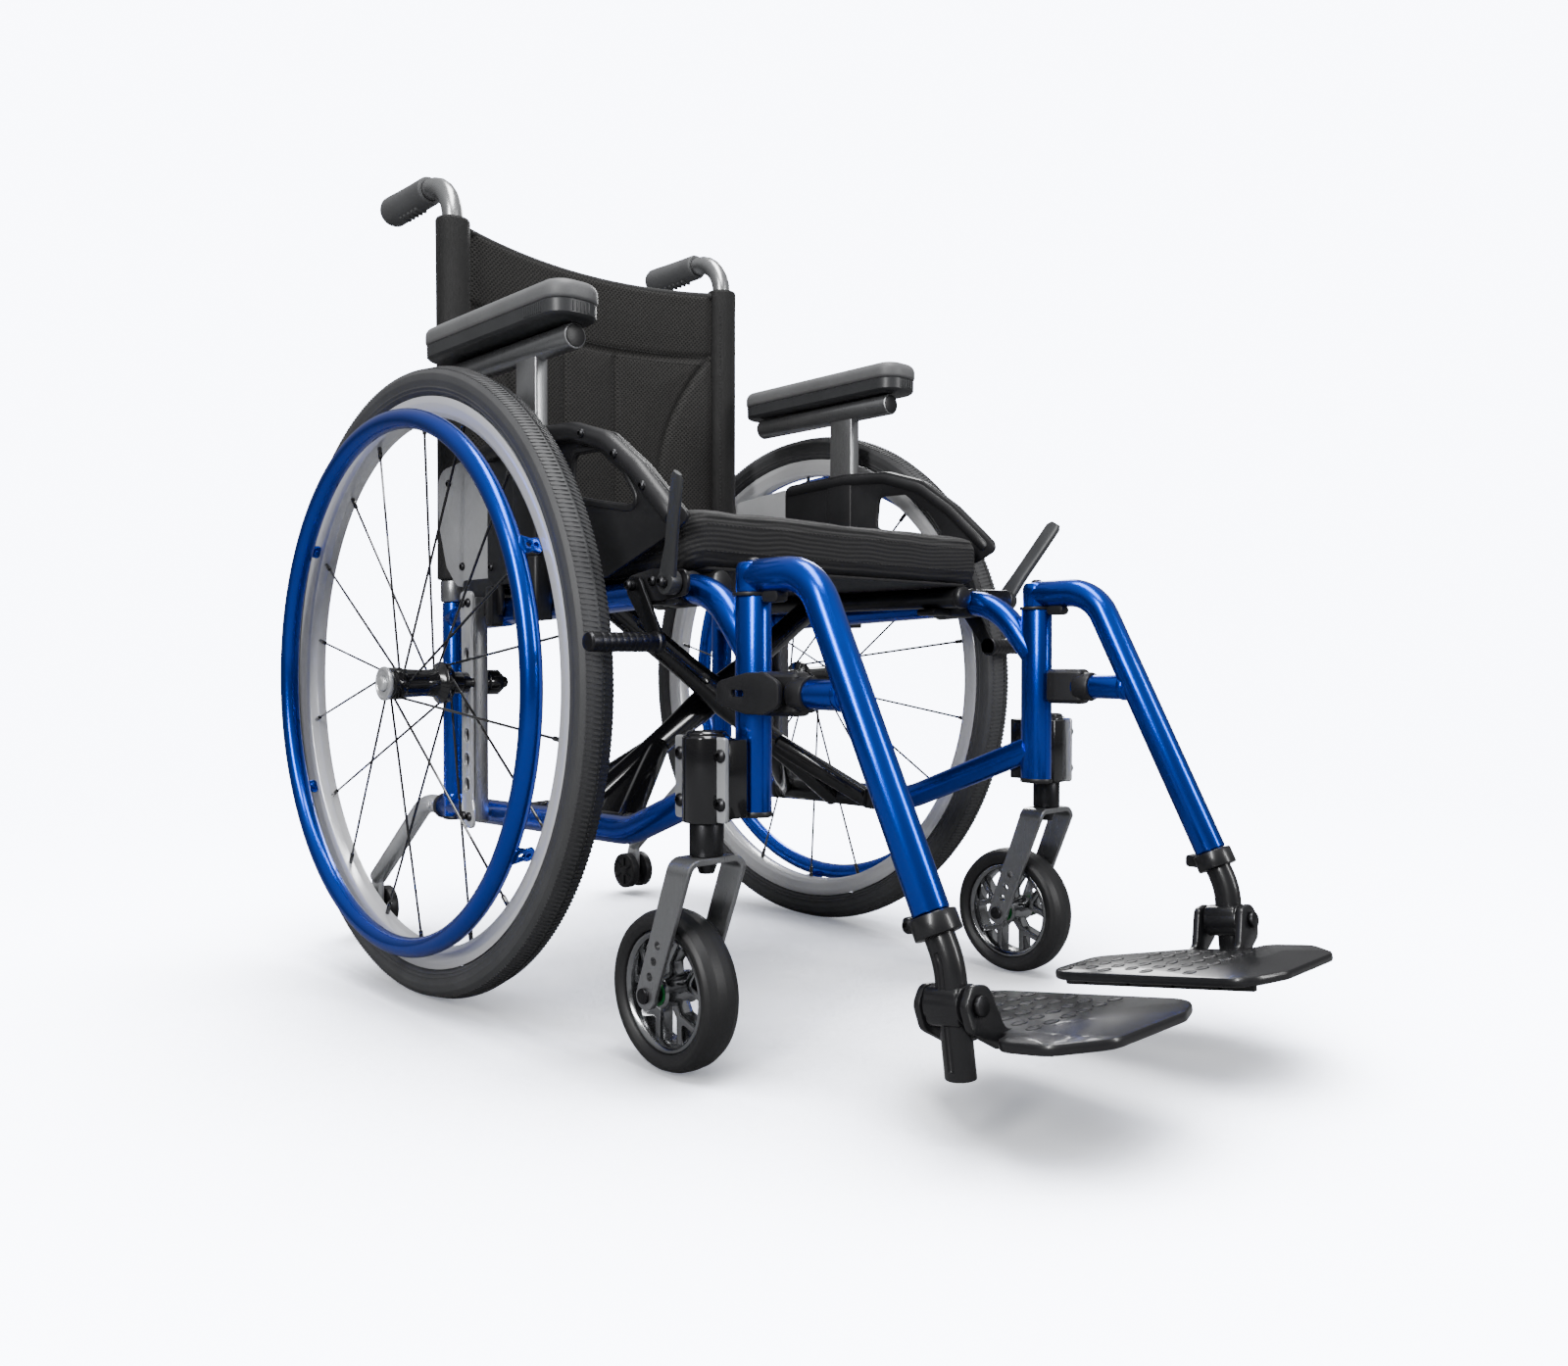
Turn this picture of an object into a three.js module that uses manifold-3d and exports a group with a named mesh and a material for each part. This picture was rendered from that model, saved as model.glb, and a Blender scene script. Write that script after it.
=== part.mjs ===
// A folding manual wheelchair with 24 inch rear wheels, swing-away footrests and height-adjustable
// armrests. Millimetres, +Z up, the chair faces -Y and the sitter's left is +X.
// Each side is modelled once, as the left one, and mirrored for the right.
// While it is modelled, y = 0 is the rear axle and z = 0 the floor; at the end the whole chair is
// moved along Y so that its origin lies under the middle of its box.

import * as THREE from 'three';
import { mergeVertices } from 'three/addons/utils/BufferGeometryUtils.js';
import Module from 'manifold-3d';

const wasm = await Module();
wasm.setup();

// ---- Driving dimensions ----------------------------------------------------------------------

const gap = 0.3; // between pieces that touch
const runningGap = 0.5; // between a pin and the bore that it turns in

// Rear wheel
const tyreRadius = 305;
const tyreWidth = 34;
const tyreDepth = 29.7;
const rimDepth = 18;
const rimWidth = 23;
const spokeCount = 18;
const spokeRadius = 1.2;
const hubRadius = 14;
const axleRadius = 6;
const handrimInset = 52.6; // handrim's circle inside the tyre's
const handrimTube = 9.5;
const handrimOut = 33.2; // handrim's middle plane, outward of the tyre's
const handrimTabs = 6;
const wheelOut = 77.7; // tyre's middle plane, outward of the side frame's
const buttonTravel = 4;

// Side frame
const frameHalf = 188; // side frame's middle plane from the chair's middle
const tubeRadius = 12.7;
const lowerZ = 169; // height of the lower tube
const upperZ = 375; // height of the upper tube
const rearPostY = 82;
const postAhead = 95; // front post ahead of the rear tyre
const postWidth = 26;
const postDepth = 32;
const upperSlope = 0.037;
const lowerSlope = 0.03;

// Cross brace and seat
const braceTube = 13;
const railRadius = 10.5;
const railRise = 17; // seat rails above the upper tube
const footRise = 6; // lower pivots above the lower tube
const footLength = 146;
const pinRadius = 5;
const cushionThickness = 48;
const cushionOverhang = 12; // cushion past each side frame's middle plane
const slingThickness = 3;

// Back
const gripHeight = 842;
const caneRadius = 11;
const caneBend = 40;
const gripLength = 94;
const gripRadius = 16.5;
const sleeveRadius = 18.5;
const sleeveTop = 797;
const backSag = 22;
const backThickness = 8;

// Armrest and side guard
const padLength = 255;
const padWidth = 55;
const padThickness = 33;
const padHeight = 630.4; // underside of the pad
const postThickness = 14;
const armPostDepth = 36;
const armPostY = -113;
const armTube = 10;
const guardThickness = 5;

// Caster
const casterRadius = 65;
const casterWidth = 36;
const casterDepth = 16;
const casterOut = 39; // caster stem outward of the side frame
const casterBack = 13; // caster stem behind the front post
const casterTrail = 40;
const forkGap = 50;
const forkPlate = 5;
const forkDepth = 25;
const stemRadius = 9;
const housingRadius = 19;

// Footrest
const hangerTube = 13.5;
const hangerReach = 65.3; // front post to the corner of the hanger's bend
const hangerDrop = 236;
const hangerLean = 0.503; // forward for each unit of drop
const extensionTube = 11.5;
const footHingeZ = 98;
const footTilt = THREE.MathUtils.degToRad(9);
const footplateThickness = 13;
const footplateLength = 192;
const footplateWidth = 132;

// Anti-tippers
const tipperTube = 10;
const tipperWheelRadius = 24;
const tipperReach = 275;

// Round parts
const wheelSides = 40;
const casterSides = 24;

// ---- Places worked out from the driving dimensions --------------------------------------------

const axleZ = tyreRadius;
const wheelX = frameHalf + wheelOut;
const handrimRadius = tyreRadius - handrimInset;
const postY = -(tyreRadius + postAhead);
const postX = frameHalf + 2;
const footX = frameHalf - tubeRadius - railRadius - 1.8;
const footZ = lowerZ + footRise;
const railZ = upperZ + railRise;
const braceMidY = -130;
const postOuter = Math.max(postX + postWidth / 2, frameHalf + 1 + tubeRadius) + gap; // the caster housing bolts on here
const outerFace = frameHalf + tubeRadius + gap; // what bolts on to the outside of the frame starts here
const braceLean = Math.atan2(railZ - footZ, 2 * footX);
const slingBottom = railZ + braceTube * Math.cos(braceLean) + gap;
const cushionBottom = slingBottom + slingThickness + gap;
const casterX = frameHalf + casterOut;
const casterY = postY + casterBack;
const housingBottom = lowerZ + 34;
const housingTop = housingBottom + 67;
const hangerZ = railZ + 1;
const hangerEndY = postY - hangerReach - hangerDrop * hangerLean;
const hangerEndZ = hangerZ - hangerDrop;
const postTop = hangerZ - hangerTube - 2 * gap;
const postBottom = lowerZ + 38;
const upperAt = (y) => upperZ - upperSlope * y;
const lowerAt = (y) => lowerZ - lowerSlope * y;

// ---- Shapes ----------------------------------------------------------------------------------

// A geometry with only its shape: shared corners, no slivers, faces outward.
function weld(geometry) {
  const bare = geometry.clone();
  bare.deleteAttribute('normal');
  bare.deleteAttribute('uv');
  const welded = mergeVertices(bare, 1e-4);
  const corner = (i) => new THREE.Vector3().fromBufferAttribute(welded.attributes.position, i);
  const faces = [];
  let volume = 0;
  for (let i = 0; i < welded.index.count; i += 3) {
    const [a, b, c] = [0, 1, 2].map((k) => welded.index.getX(i + k));
    if (a === b || b === c || c === a) continue;
    faces.push([a, b, c]);
    volume += corner(a).dot(corner(b).cross(corner(c)));
  }
  if (volume < 0) faces.forEach((face) => face.reverse());
  welded.setIndex(faces.flat());
  return welded;
}

function toSolid(geometry) {
  const welded = weld(geometry);
  return new wasm.Manifold(new wasm.Mesh({
    numProp: 3,
    vertProperties: new Float32Array(welded.attributes.position.array),
    triVerts: new Uint32Array(welded.index.array),
  }));
}

function toGeometry(solid) {
  const mesh = solid.getMesh();
  const geometry = new THREE.BufferGeometry();
  geometry.setAttribute('position', new THREE.BufferAttribute(mesh.vertProperties, 3));
  geometry.setIndex(new THREE.BufferAttribute(mesh.triVerts, 1));
  return geometry;
}

const join = (...pieces) => toGeometry(pieces.map(toSolid).reduce((whole, piece) => whole.add(piece)));
const cut = (body, ...tools) => toGeometry(tools.map(toSolid).reduce((left, tool) => left.subtract(tool), toSolid(body)));

function mirrored(geometry) {
  return weld(geometry.clone().scale(-1, 1, 1));
}

function box([x0, x1], [y0, y1], [z0, z1]) {
  return new THREE.BoxGeometry(x1 - x0, y1 - y0, z1 - z0).translate((x0 + x1) / 2, (y0 + y1) / 2, (z0 + z1) / 2);
}

function rod(from, to, radius, sides = 8) {
  const start = new THREE.Vector3(...from);
  const along = new THREE.Vector3(...to).sub(start);
  const turn = new THREE.Quaternion().setFromUnitVectors(new THREE.Vector3(0, 1, 0), along.clone().normalize());
  const middle = start.clone().addScaledVector(along, 0.5);
  return new THREE.CylinderGeometry(radius, radius, along.length(), sides)
    .applyQuaternion(turn)
    .translate(middle.x, middle.y, middle.z);
}

// A route of straight runs with rounded corners, with one station at each end and a few round each bend.
class BentRoute extends THREE.Curve {
  constructor(corners, bend, bendSteps = 3) {
    super();
    const points = corners.map((corner) => new THREE.Vector3(...corner));
    this.stations = [points[0]];
    for (let i = 1; i < points.length - 1; i += 1) {
      const before = points[i].clone().sub(points[i - 1]);
      const after = points[i + 1].clone().sub(points[i]);
      const turn = before.angleTo(after);
      const setback = Math.min(bend * Math.tan(turn / 2), before.length() * 0.45, after.length() * 0.45);
      before.normalize();
      after.normalize();
      const start = points[i].clone().addScaledVector(before, -setback);
      const end = points[i].clone().addScaledVector(after, setback);
      const toCentre = after.clone().sub(before).normalize();
      const centre = points[i].clone().addScaledVector(toCentre, setback / Math.sin(turn / 2));
      for (let step = 0; step <= bendSteps; step += 1) {
        const share = step / bendSteps;
        const arm = start.clone().sub(centre).multiplyScalar(Math.sin((1 - share) * turn))
          .addScaledVector(end.clone().sub(centre), Math.sin(share * turn))
          .divideScalar(Math.sin(turn));
        this.stations.push(arm.add(centre));
      }
    }
    this.stations.push(points.at(-1));
  }

  getPoint(t, target = new THREE.Vector3()) {
    return target.copy(this.stations[Math.round(t * (this.stations.length - 1))]);
  }

  getTangentAt(t, target = new THREE.Vector3()) {
    const i = Math.round(t * (this.stations.length - 1));
    const before = this.stations[Math.max(i - 1, 0)];
    const here = this.stations[i];
    const after = this.stations[Math.min(i + 1, this.stations.length - 1)];
    const arriving = here.clone().sub(before).normalize();
    const leaving = after.clone().sub(here).normalize();
    return target.copy(arriving).add(leaving).normalize();
  }

  getSpacedPoints() {
    return this.stations;
  }
}

function circle(radius, sides) {
  const corners = Array.from({ length: sides }, (_, i) => (i * 2 * Math.PI) / sides)
    .map((angle) => new THREE.Vector2(radius * Math.cos(angle), radius * Math.sin(angle)));
  return new THREE.Shape(corners);
}

function pipe(corners, radius, bend = 40, sides = 8) {
  const route = new BentRoute(corners, bend);
  const steps = route.stations.length - 1;
  return new THREE.ExtrudeGeometry(circle(radius, sides), { steps, bevelEnabled: false, extrudePath: route });
}

// A ring or shaft about the X axis, from [radius, x] corners. Radii are measured across the flats,
// and one flat faces down, so that a wheel stands steady.
function turned(profile, sides) {
  const across = 1 / Math.cos(Math.PI / sides);
  const corners = profile.map(([radius, x]) => new THREE.Vector2(radius * across, x));
  if (profile[0][0] > 0) corners.push(corners[0].clone());
  return new THREE.LatheGeometry(corners, sides, Math.PI / sides).rotateZ(-Math.PI / 2);
}

// An outline of [y, z] corners, with holes, as a sheet between two values of x.
function sideSheet(outline, [x0, x1], holes = []) {
  const shape = new THREE.Shape(outline.map(([y, z]) => new THREE.Vector2(y, z)));
  shape.holes = holes.map((hole) => new THREE.Path(hole.map(([y, z]) => new THREE.Vector2(y, z))));
  return new THREE.ExtrudeGeometry(shape, { depth: x1 - x0, bevelEnabled: false })
    .rotateX(Math.PI / 2)
    .rotateZ(Math.PI / 2)
    .translate(x0, 0, 0);
}

// An outline of [x, y] corners as a slab between two values of z.
function flatSlab(outline, [z0, z1]) {
  const shape = new THREE.Shape(outline.map(([x, y]) => new THREE.Vector2(x, y)));
  return new THREE.ExtrudeGeometry(shape, { depth: z1 - z0, bevelEnabled: false }).translate(0, 0, z0);
}

// An outline of [x, z] corners as a sheet between two values of y.
function frontSheet(outline, [y0, y1]) {
  const shape = new THREE.Shape(outline.map(([x, z]) => new THREE.Vector2(x, z)));
  return new THREE.ExtrudeGeometry(shape, { depth: y1 - y0, bevelEnabled: false })
    .rotateX(Math.PI / 2)
    .translate(0, y1, 0);
}

function chamferedRectangle([x0, x1], [y0, y1], chamfer) {
  return [
    [x0 + chamfer, y0], [x1 - chamfer, y0], [x1, y0 + chamfer], [x1, y1 - chamfer],
    [x1 - chamfer, y1], [x0 + chamfer, y1], [x0, y1 - chamfer], [x0, y0 + chamfer],
  ];
}

// ---- Placing ---------------------------------------------------------------------------------

const chair = new THREE.Group();

const looks = {
  bluePaint: { color: 0x0a3bc4, roughness: 0.22, metalness: 0.45 },
  blackPaint: { color: 0x101113, roughness: 0.35, metalness: 0.4 },
  silver: { color: 0xb9bcc2, roughness: 0.28, metalness: 0.9 },
  gunmetal: { color: 0x55585d, roughness: 0.35, metalness: 0.8 },
  rubber: { color: 0x242527, roughness: 0.8, metalness: 0 },
  grip: { color: 0x3d3f42, roughness: 0.7, metalness: 0 },
  moulding: { color: 0x26272a, roughness: 0.55, metalness: 0 },
  armFoam: { color: 0x35373a, roughness: 0.6, metalness: 0 },
  cloth: { color: 0x1a1a1c, roughness: 0.9, metalness: 0 },
};

function place(name, geometry, look, at = [0, 0, 0], tilt = 0) {
  const mesh = new THREE.Mesh(weld(geometry), new THREE.MeshStandardMaterial(looks[look]));
  mesh.name = name;
  mesh.position.set(...at);
  mesh.rotation.x = tilt;
  chair.add(mesh);
}

// The same piece on both sides: the left one as modelled, the right one mirrored.
function placePair(name, geometry, look, at = [0, 0, 0], tilt = 0) {
  place(`${name}_left`, geometry, look, at, tilt);
  place(`${name}_right`, mirrored(geometry), look, [-at[0], at[1], at[2]], tilt);
}

// ---- Side frame ------------------------------------------------------------------------------

function sideFrame() {
  const post = new THREE.CylinderGeometry(postDepth / 2, postDepth / 2, postTop - postBottom, 12)
    .rotateX(Math.PI / 2)
    .scale(postWidth / postDepth, 1, 1)
    .translate(postX, postY, (postTop + postBottom) / 2);
  const upperTube = pipe([
    [frameHalf, rearPostY, upperAt(rearPostY)],
    [frameHalf, postY + 50, upperAt(postY + 50)],
    [frameHalf + 1, postY + 3, upperAt(postY + 50) - 55],
  ], tubeRadius, 60, 10);
  const lowerTube = pipe([
    [frameHalf, rearPostY + 23, lowerZ],
    [frameHalf, postY + 165, lowerAt(postY + 165)],
    [frameHalf + 1, postY + 6, lowerAt(postY + 165) + 63],
  ], tubeRadius, 80, 10);
  const rearPost = rod([frameHalf, rearPostY, lowerZ - 9], [frameHalf, rearPostY, upperZ + 27], tubeRadius, 10);
  const rearSocket = rod([frameHalf, rearPostY, upperZ + 13], [frameHalf, rearPostY, upperZ + 29], 15.5, 10);
  const lugs = [-1, 1].map((end) => {
    const y = braceMidY + end * (footLength / 2 + 3.5);
    return box([footX - 9, frameHalf], [y - 3, y + 3], [footZ - 11, footZ + 9]);
  });
  const pivotPin = rod(
    [footX, braceMidY - footLength / 2 - 5, footZ],
    [footX, braceMidY + footLength / 2 + 5, footZ],
    pinRadius,
  );
  const saddleTop = railZ - railRadius - gap;
  const saddle = box([footX - 13, frameHalf - 6], [postY + 100, postY + 122], [saddleTop - 8, saddleTop]);
  return join(upperTube, lowerTube, post, rearPost, rearSocket, ...lugs, pivotPin, saddle);
}

// ---- Back ------------------------------------------------------------------------------------

const caneFoot = upperZ + 29 + gap;
const gripStart = rearPostY + caneBend + 9;

function backCane() {
  return pipe([
    [frameHalf, rearPostY, caneFoot],
    [frameHalf, rearPostY, gripHeight],
    [frameHalf, gripStart + gripLength - 8, gripHeight],
  ], caneRadius, caneBend, 10);
}

function pushGrip() {
  const outside = rod([frameHalf, gripStart, gripHeight], [frameHalf, gripStart + gripLength, gripHeight], gripRadius, 10);
  const flange = rod([frameHalf, gripStart, gripHeight], [frameHalf, gripStart + 6, gripHeight], gripRadius + 2, 10);
  const bore = rod([frameHalf, gripStart - 5, gripHeight], [frameHalf, gripStart + gripLength - 7, gripHeight], caneRadius + gap, 20);
  return cut(join(outside, flange), bore);
}

function backSleeve() {
  const bottom = caneFoot + 9;
  const outside = rod([frameHalf, rearPostY, bottom], [frameHalf, rearPostY, sleeveTop], sleeveRadius, 12);
  const bore = rod([frameHalf, rearPostY, bottom - 5], [frameHalf, rearPostY, sleeveTop + 5], caneRadius + 2 * gap, 12);
  return cut(outside, bore);
}

function backPanel() {
  const half = frameHalf - sleeveRadius - gap;
  const steps = 8;
  const front = Array.from({ length: steps + 1 }, (_, i) => -1 + (2 * i) / steps)
    .map((share) => [share * half, rearPostY - backThickness / 2 + backSag * (1 - share * share)]);
  const rear = front.map(([x, y]) => [x, y + backThickness]).reverse();
  return flatSlab([...front, ...rear], [caneFoot + 11, sleeveTop - 7]);
}

// ---- Rear wheel, about its own axle ----------------------------------------------------------

const rimOuter = tyreRadius - tyreDepth - gap;
const rimInner = rimOuter - rimDepth;
const receiverEnd = outerFace + 25 - wheelX; // the hub starts where the axle receiver ends

function rearTyre() {
  const half = tyreWidth / 2;
  const seat = rimOuter + gap;
  return turned([
    [seat, -10], [seat + 9, -half], [tyreRadius - 8, -half + 1.5], [tyreRadius, -7],
    [tyreRadius, 7], [tyreRadius - 8, half - 1.5], [seat + 9, half], [seat, 10],
  ], wheelSides);
}

function wheelRim() {
  const half = rimWidth / 2;
  return turned([
    [rimOuter, -10], [rimOuter, 10], [rimOuter - 5, half], [rimInner, 8], [rimInner, -8], [rimOuter - 5, -half],
  ], wheelSides);
}

function wheelHub() {
  const buttonRoom = hubRadius / 2 + 0.5;
  const hub = turned([
    [0, -wheelOut - 13.3], [axleRadius, -wheelOut - 13.3], [axleRadius, receiverEnd + gap], [11, receiverEnd + gap],
    [11, -24], [hubRadius * 1.5, -24], [hubRadius * 1.5, -14], [hubRadius, -10], [hubRadius, 24],
    [hubRadius + 2, 26], [hubRadius + 2, 42], [buttonRoom, 42], [buttonRoom, 34], [0, 34],
  ], 12);
  const spokes = Array.from({ length: spokeCount }, (_, i) => {
    const inner = i % 2 === 0;
    const angle = (i * 2 * Math.PI) / spokeCount;
    const lean = (inner ? 1 : -1) * 0.9;
    const from = inner ? [-19, hubRadius * 1.35] : [30, hubRadius];
    return rod(
      [from[0], from[1] * Math.cos(angle + lean), from[1] * Math.sin(angle + lean)],
      [0, (rimInner - 1) * Math.cos(angle), (rimInner - 1) * Math.sin(angle)],
      spokeRadius,
      4,
    );
  });
  return join(hub, ...spokes);
}

function releaseButton() {
  const start = 34 + buttonTravel + gap;
  return turned([[0, start], [hubRadius / 2, start], [hubRadius / 2, start + 7], [0, start + 7]], 12);
}

function handrim() {
  const section = Array.from({ length: 8 }, (_, i) => ((i + 0.5) * Math.PI) / 4)
    .map((angle) => [handrimRadius + handrimTube * Math.cos(angle), handrimOut + handrimTube * Math.sin(angle)]);
  const ring = turned(section, wheelSides);
  const tabs = Array.from({ length: handrimTabs }, (_, i) => box([11.6, handrimOut], [-6, 6], [rimInner - 3, rimInner + 4])
    .rotateX(((i + 0.5) * 2 * Math.PI) / handrimTabs));
  return join(ring, ...tabs);
}

// The channel that the axle bolts to, with a row of height holes, and the tube that takes the axle.
function axlePlate() {
  const web = [outerFace + 15, outerFace + 19];
  const bottom = lowerZ - 11;
  const top = upperZ + 23;
  const channel = join(
    box(web, [-12.5, 12.5], [bottom, top]),
    ...[-1, 1].map((side) => box([outerFace, web[0] + 1], [side * 11 - 1.5, side * 11 + 1.5], [bottom, top])),
    ...[lowerZ + 1, upperZ + 7].map((z) => rod([outerFace, 0, z], [web[1] + 4, 0, z], 6)),
    rod([postX - 5, 0, axleZ], [outerFace + 25, 0, axleZ], 11, 12),
  );
  const holes = [28, -25, -53, -78, -103]
    .map((rise) => rod([web[0] - 5, 0, axleZ + rise], [web[1] + 5, 0, axleZ + rise], 6));
  const bore = turned([[0, -40], [axleRadius + runningGap, -40], [axleRadius + runningGap, 40], [0, 40]], 12)
    .translate(outerFace, 0, axleZ);
  return cut(channel, bore, ...holes);
}

// ---- Cross brace: each arm has its foot on one side frame and its seat rail on the other -------

const braceA = -113;
const braceB = -147;

function braceArm(y) {
  const half = footLength / 2;
  const strutTop = 0.3;
  const lerp = (share) => [-footX + 2 * footX * share, footZ + (railZ - footZ) * share];
  const [strutX, strutZ] = lerp(strutTop);
  return join(
    rod([-footX, y, footZ], [footX, y, railZ], braceTube, 10),
    rod([-footX, braceMidY - half, footZ], [-footX, braceMidY + half, footZ], railRadius, 10),
    rod([-footX, braceMidY - half + 9, footZ], [strutX, y, strutZ], 8),
    rod([-footX, braceMidY + half - 9, footZ], [strutX, y, strutZ], 8),
    rod([footX, postY + 70, railZ], [footX, rearPostY - 27, railZ], railRadius, 10),
  );
}

const footBore = rod([-footX, braceMidY - footLength, footZ], [-footX, braceMidY + footLength, footZ], pinRadius + runningGap);
const braceMidZ = (footZ + railZ) / 2;

function crossArmA() {
  const bolt = rod([0, braceB - braceTube - 6, braceMidZ], [0, braceA, braceMidZ], pinRadius);
  return join(cut(braceArm(braceA), footBore), bolt);
}

// The second arm is the first one's mirror image, further forward, and turns on the first one's bolt.
function crossArmB() {
  const boltHole = rod([0, braceB - 3 * braceTube, braceMidZ], [0, braceB + 3 * braceTube, braceMidZ], pinRadius + runningGap);
  return mirrored(cut(braceArm(braceB), footBore, boltHole));
}

// ---- Seat ------------------------------------------------------------------------------------

function seatSling() {
  const half = footX + railRadius;
  return box([-half, half], [postY + 75, rearPostY - 32], [slingBottom, slingBottom + slingThickness]);
}

function seatCushion() {
  const half = frameHalf + cushionOverhang;
  const outline = chamferedRectangle([-half, half], [postY + 65, rearPostY - 22], 14);
  return flatSlab(outline, [cushionBottom, cushionBottom + cushionThickness]);
}

// ---- Armrest and side guard ------------------------------------------------------------------

const guardInner = frameHalf + sleeveRadius + 2 * gap;
const armX = outerFace + 11;
const socketWall = 2.5;
const socketTop = upperZ + 168;

function armPad() {
  const outline = chamferedRectangle([armX + 5.5 - padWidth / 2, armX + 5.5 + padWidth / 2], [50 - padLength, 50], 12);
  return flatSlab(outline, [padHeight, padHeight + padThickness]);
}

function armPost() {
  const tubeZ = padHeight - armTube - 0.4;
  return join(
    rod([armX, 50 - padLength + 19, tubeZ], [armX, 29, tubeZ], armTube, 10),
    box(
      [armX - postThickness / 2, armX + postThickness / 2],
      [armPostY - armPostDepth / 2, armPostY + armPostDepth / 2],
      [upperZ + 55, tubeZ],
    ),
  );
}

function sideGuard() {
  const panel = [guardInner, guardInner + guardThickness];
  const rise = (z) => upperZ + z;
  const outline = [
    [rearPostY + 5, rise(149)], [-43, rise(165)], [-180, rise(167)], [-260, rise(138)], [-307, rise(102)],
    [-338, rise(77)], [-328, rise(67)], [-225, rise(25)], [rearPostY - 34, rise(28)],
  ].reverse();
  const window = [
    [-187, rise(140)], [-216, rise(139)], [-257, rise(110)], [-272, rise(90)], [-258, rise(90)], [-175, rise(96)],
  ];
  const inside = [
    [armX - postThickness / 2 - gap, armX + postThickness / 2 + gap],
    [armPostY - armPostDepth / 2 - gap, armPostY + armPostDepth / 2 + gap],
  ];
  const socket = box(
    inside[0].map((x, i) => x + (i ? socketWall : -socketWall)),
    inside[1].map((y, i) => y + (i ? socketWall : -socketWall)),
    [upperZ - 10, socketTop],
  );
  const room = box(inside[0], inside[1], [rise(50), socketTop + 10]);
  return cut(join(sideSheet(outline, panel, [window]), socket), room);
}

// ---- Wheel lock ------------------------------------------------------------------------------

const lockY = -(tyreRadius - 19);
const lockZ = upperZ + 15;
const leverY = lockY - 52;
const shoeOffset = [-32, -48];

function brakeBody() {
  const plate = [outerFace + 13, outerFace + 17];
  return join(
    box([outerFace, plate[0] + 1], [lockY - 34, lockY - 8], [upperAt(lockY) - 10, upperAt(lockY) + 15]),
    sideSheet([[lockY - 66, lockZ + 8], [lockY - 66, lockZ - 9], [lockY + 12, lockZ - 12], [lockY + 14, lockZ + 10]].reverse(), plate),
    rod([plate[0], lockY, lockZ], [plate[1] + 9, lockY, lockZ], 4),
    rod([plate[0], leverY, lockZ], [plate[1] + 15, leverY, lockZ], 4),
  );
}

function brakeShoe() {
  const link = [outerFace + 18, outerFace + 22];
  const [dy, dz] = shoeOffset;
  const arm = join(
    rod([link[0], lockY, lockZ], [link[1], lockY, lockZ], 9, 10),
    sideSheet([[lockY - 8, lockZ + 4], [lockY + dy - 8, lockZ + dz + 2], [lockY + dy + 8, lockZ + dz - 2], [lockY + 8, lockZ - 4]], link),
    rod([link[0], lockY + dy, lockZ + dz], [wheelX + 24, lockY + dy, lockZ + dz], 8, 10),
  );
  return cut(arm, rod([link[0] - 5, lockY, lockZ], [link[1] + 5, lockY, lockZ], 4 + runningGap));
}

function brakeLever() {
  const hub = [outerFace + 18, outerFace + 29];
  const lever = join(
    rod([hub[0], leverY, lockZ], [hub[1], leverY, lockZ], 9, 10),
    pipe([[hub[1] - 5, leverY, lockZ + 2], [hub[1] + 5, leverY - 10, lockZ + 34], [hub[1] + 23, leverY - 45, lockZ + 76]], 6, 40, 6),
  );
  return cut(lever, rod([hub[0] - 5, leverY, lockZ], [hub[1] + 5, leverY, lockZ], 4 + runningGap));
}

// ---- Caster ----------------------------------------------------------------------------------

function casterHousing() {
  const bracket = box([postOuter, casterX], [postY - 10, postY + 50], [housingBottom + 5, housingTop - 4]);
  const barrel = rod([casterX, casterY, housingBottom], [casterX, casterY, housingTop], housingRadius, 12);
  const bore = rod([casterX, casterY, housingBottom - 5], [casterX, casterY, housingTop - 8], stemRadius + runningGap, 12);
  return cut(join(barrel, bracket), bore);
}

function casterFork() {
  const crown = [housingBottom - 35, housingBottom - 23];
  const axleY = casterY + casterTrail;
  const outline = [
    [casterY - forkDepth / 2, crown[1]], [axleY - 12, casterRadius], [axleY - 7, casterRadius - 10],
    [axleY + 7, casterRadius - 10], [axleY + 12, casterRadius], [casterY + forkDepth / 2, crown[1]],
  ];
  const leg = (side) => sideSheet(outline, side > 0
    ? [casterX + forkGap / 2, casterX + forkGap / 2 + forkPlate]
    : [casterX - forkGap / 2 - forkPlate, casterX - forkGap / 2]);
  const half = forkGap / 2 + forkPlate;
  return join(
    leg(-1),
    leg(1),
    box([casterX - half, casterX + half], [casterY - forkDepth / 2, casterY + forkDepth / 2], crown),
    rod([casterX, casterY, crown[1] - 2], [casterX, casterY, housingBottom - gap], 13.5, 12),
    rod([casterX, casterY, crown[1] - 2], [casterX, casterY, housingTop - 12], stemRadius, 12),
    rod([casterX - half, axleY, casterRadius], [casterX + half, axleY, casterRadius], 4),
  );
}

const casterSeat = casterRadius - casterDepth;

function casterTyre() {
  const half = casterWidth / 2;
  return turned([
    [casterSeat, -half + 4], [casterSeat + 7, -half], [casterRadius - 3, -half + 3], [casterRadius, -6],
    [casterRadius, 6], [casterRadius - 3, half - 3], [casterSeat + 7, half], [casterSeat, half - 4],
  ], casterSides);
}

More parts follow.
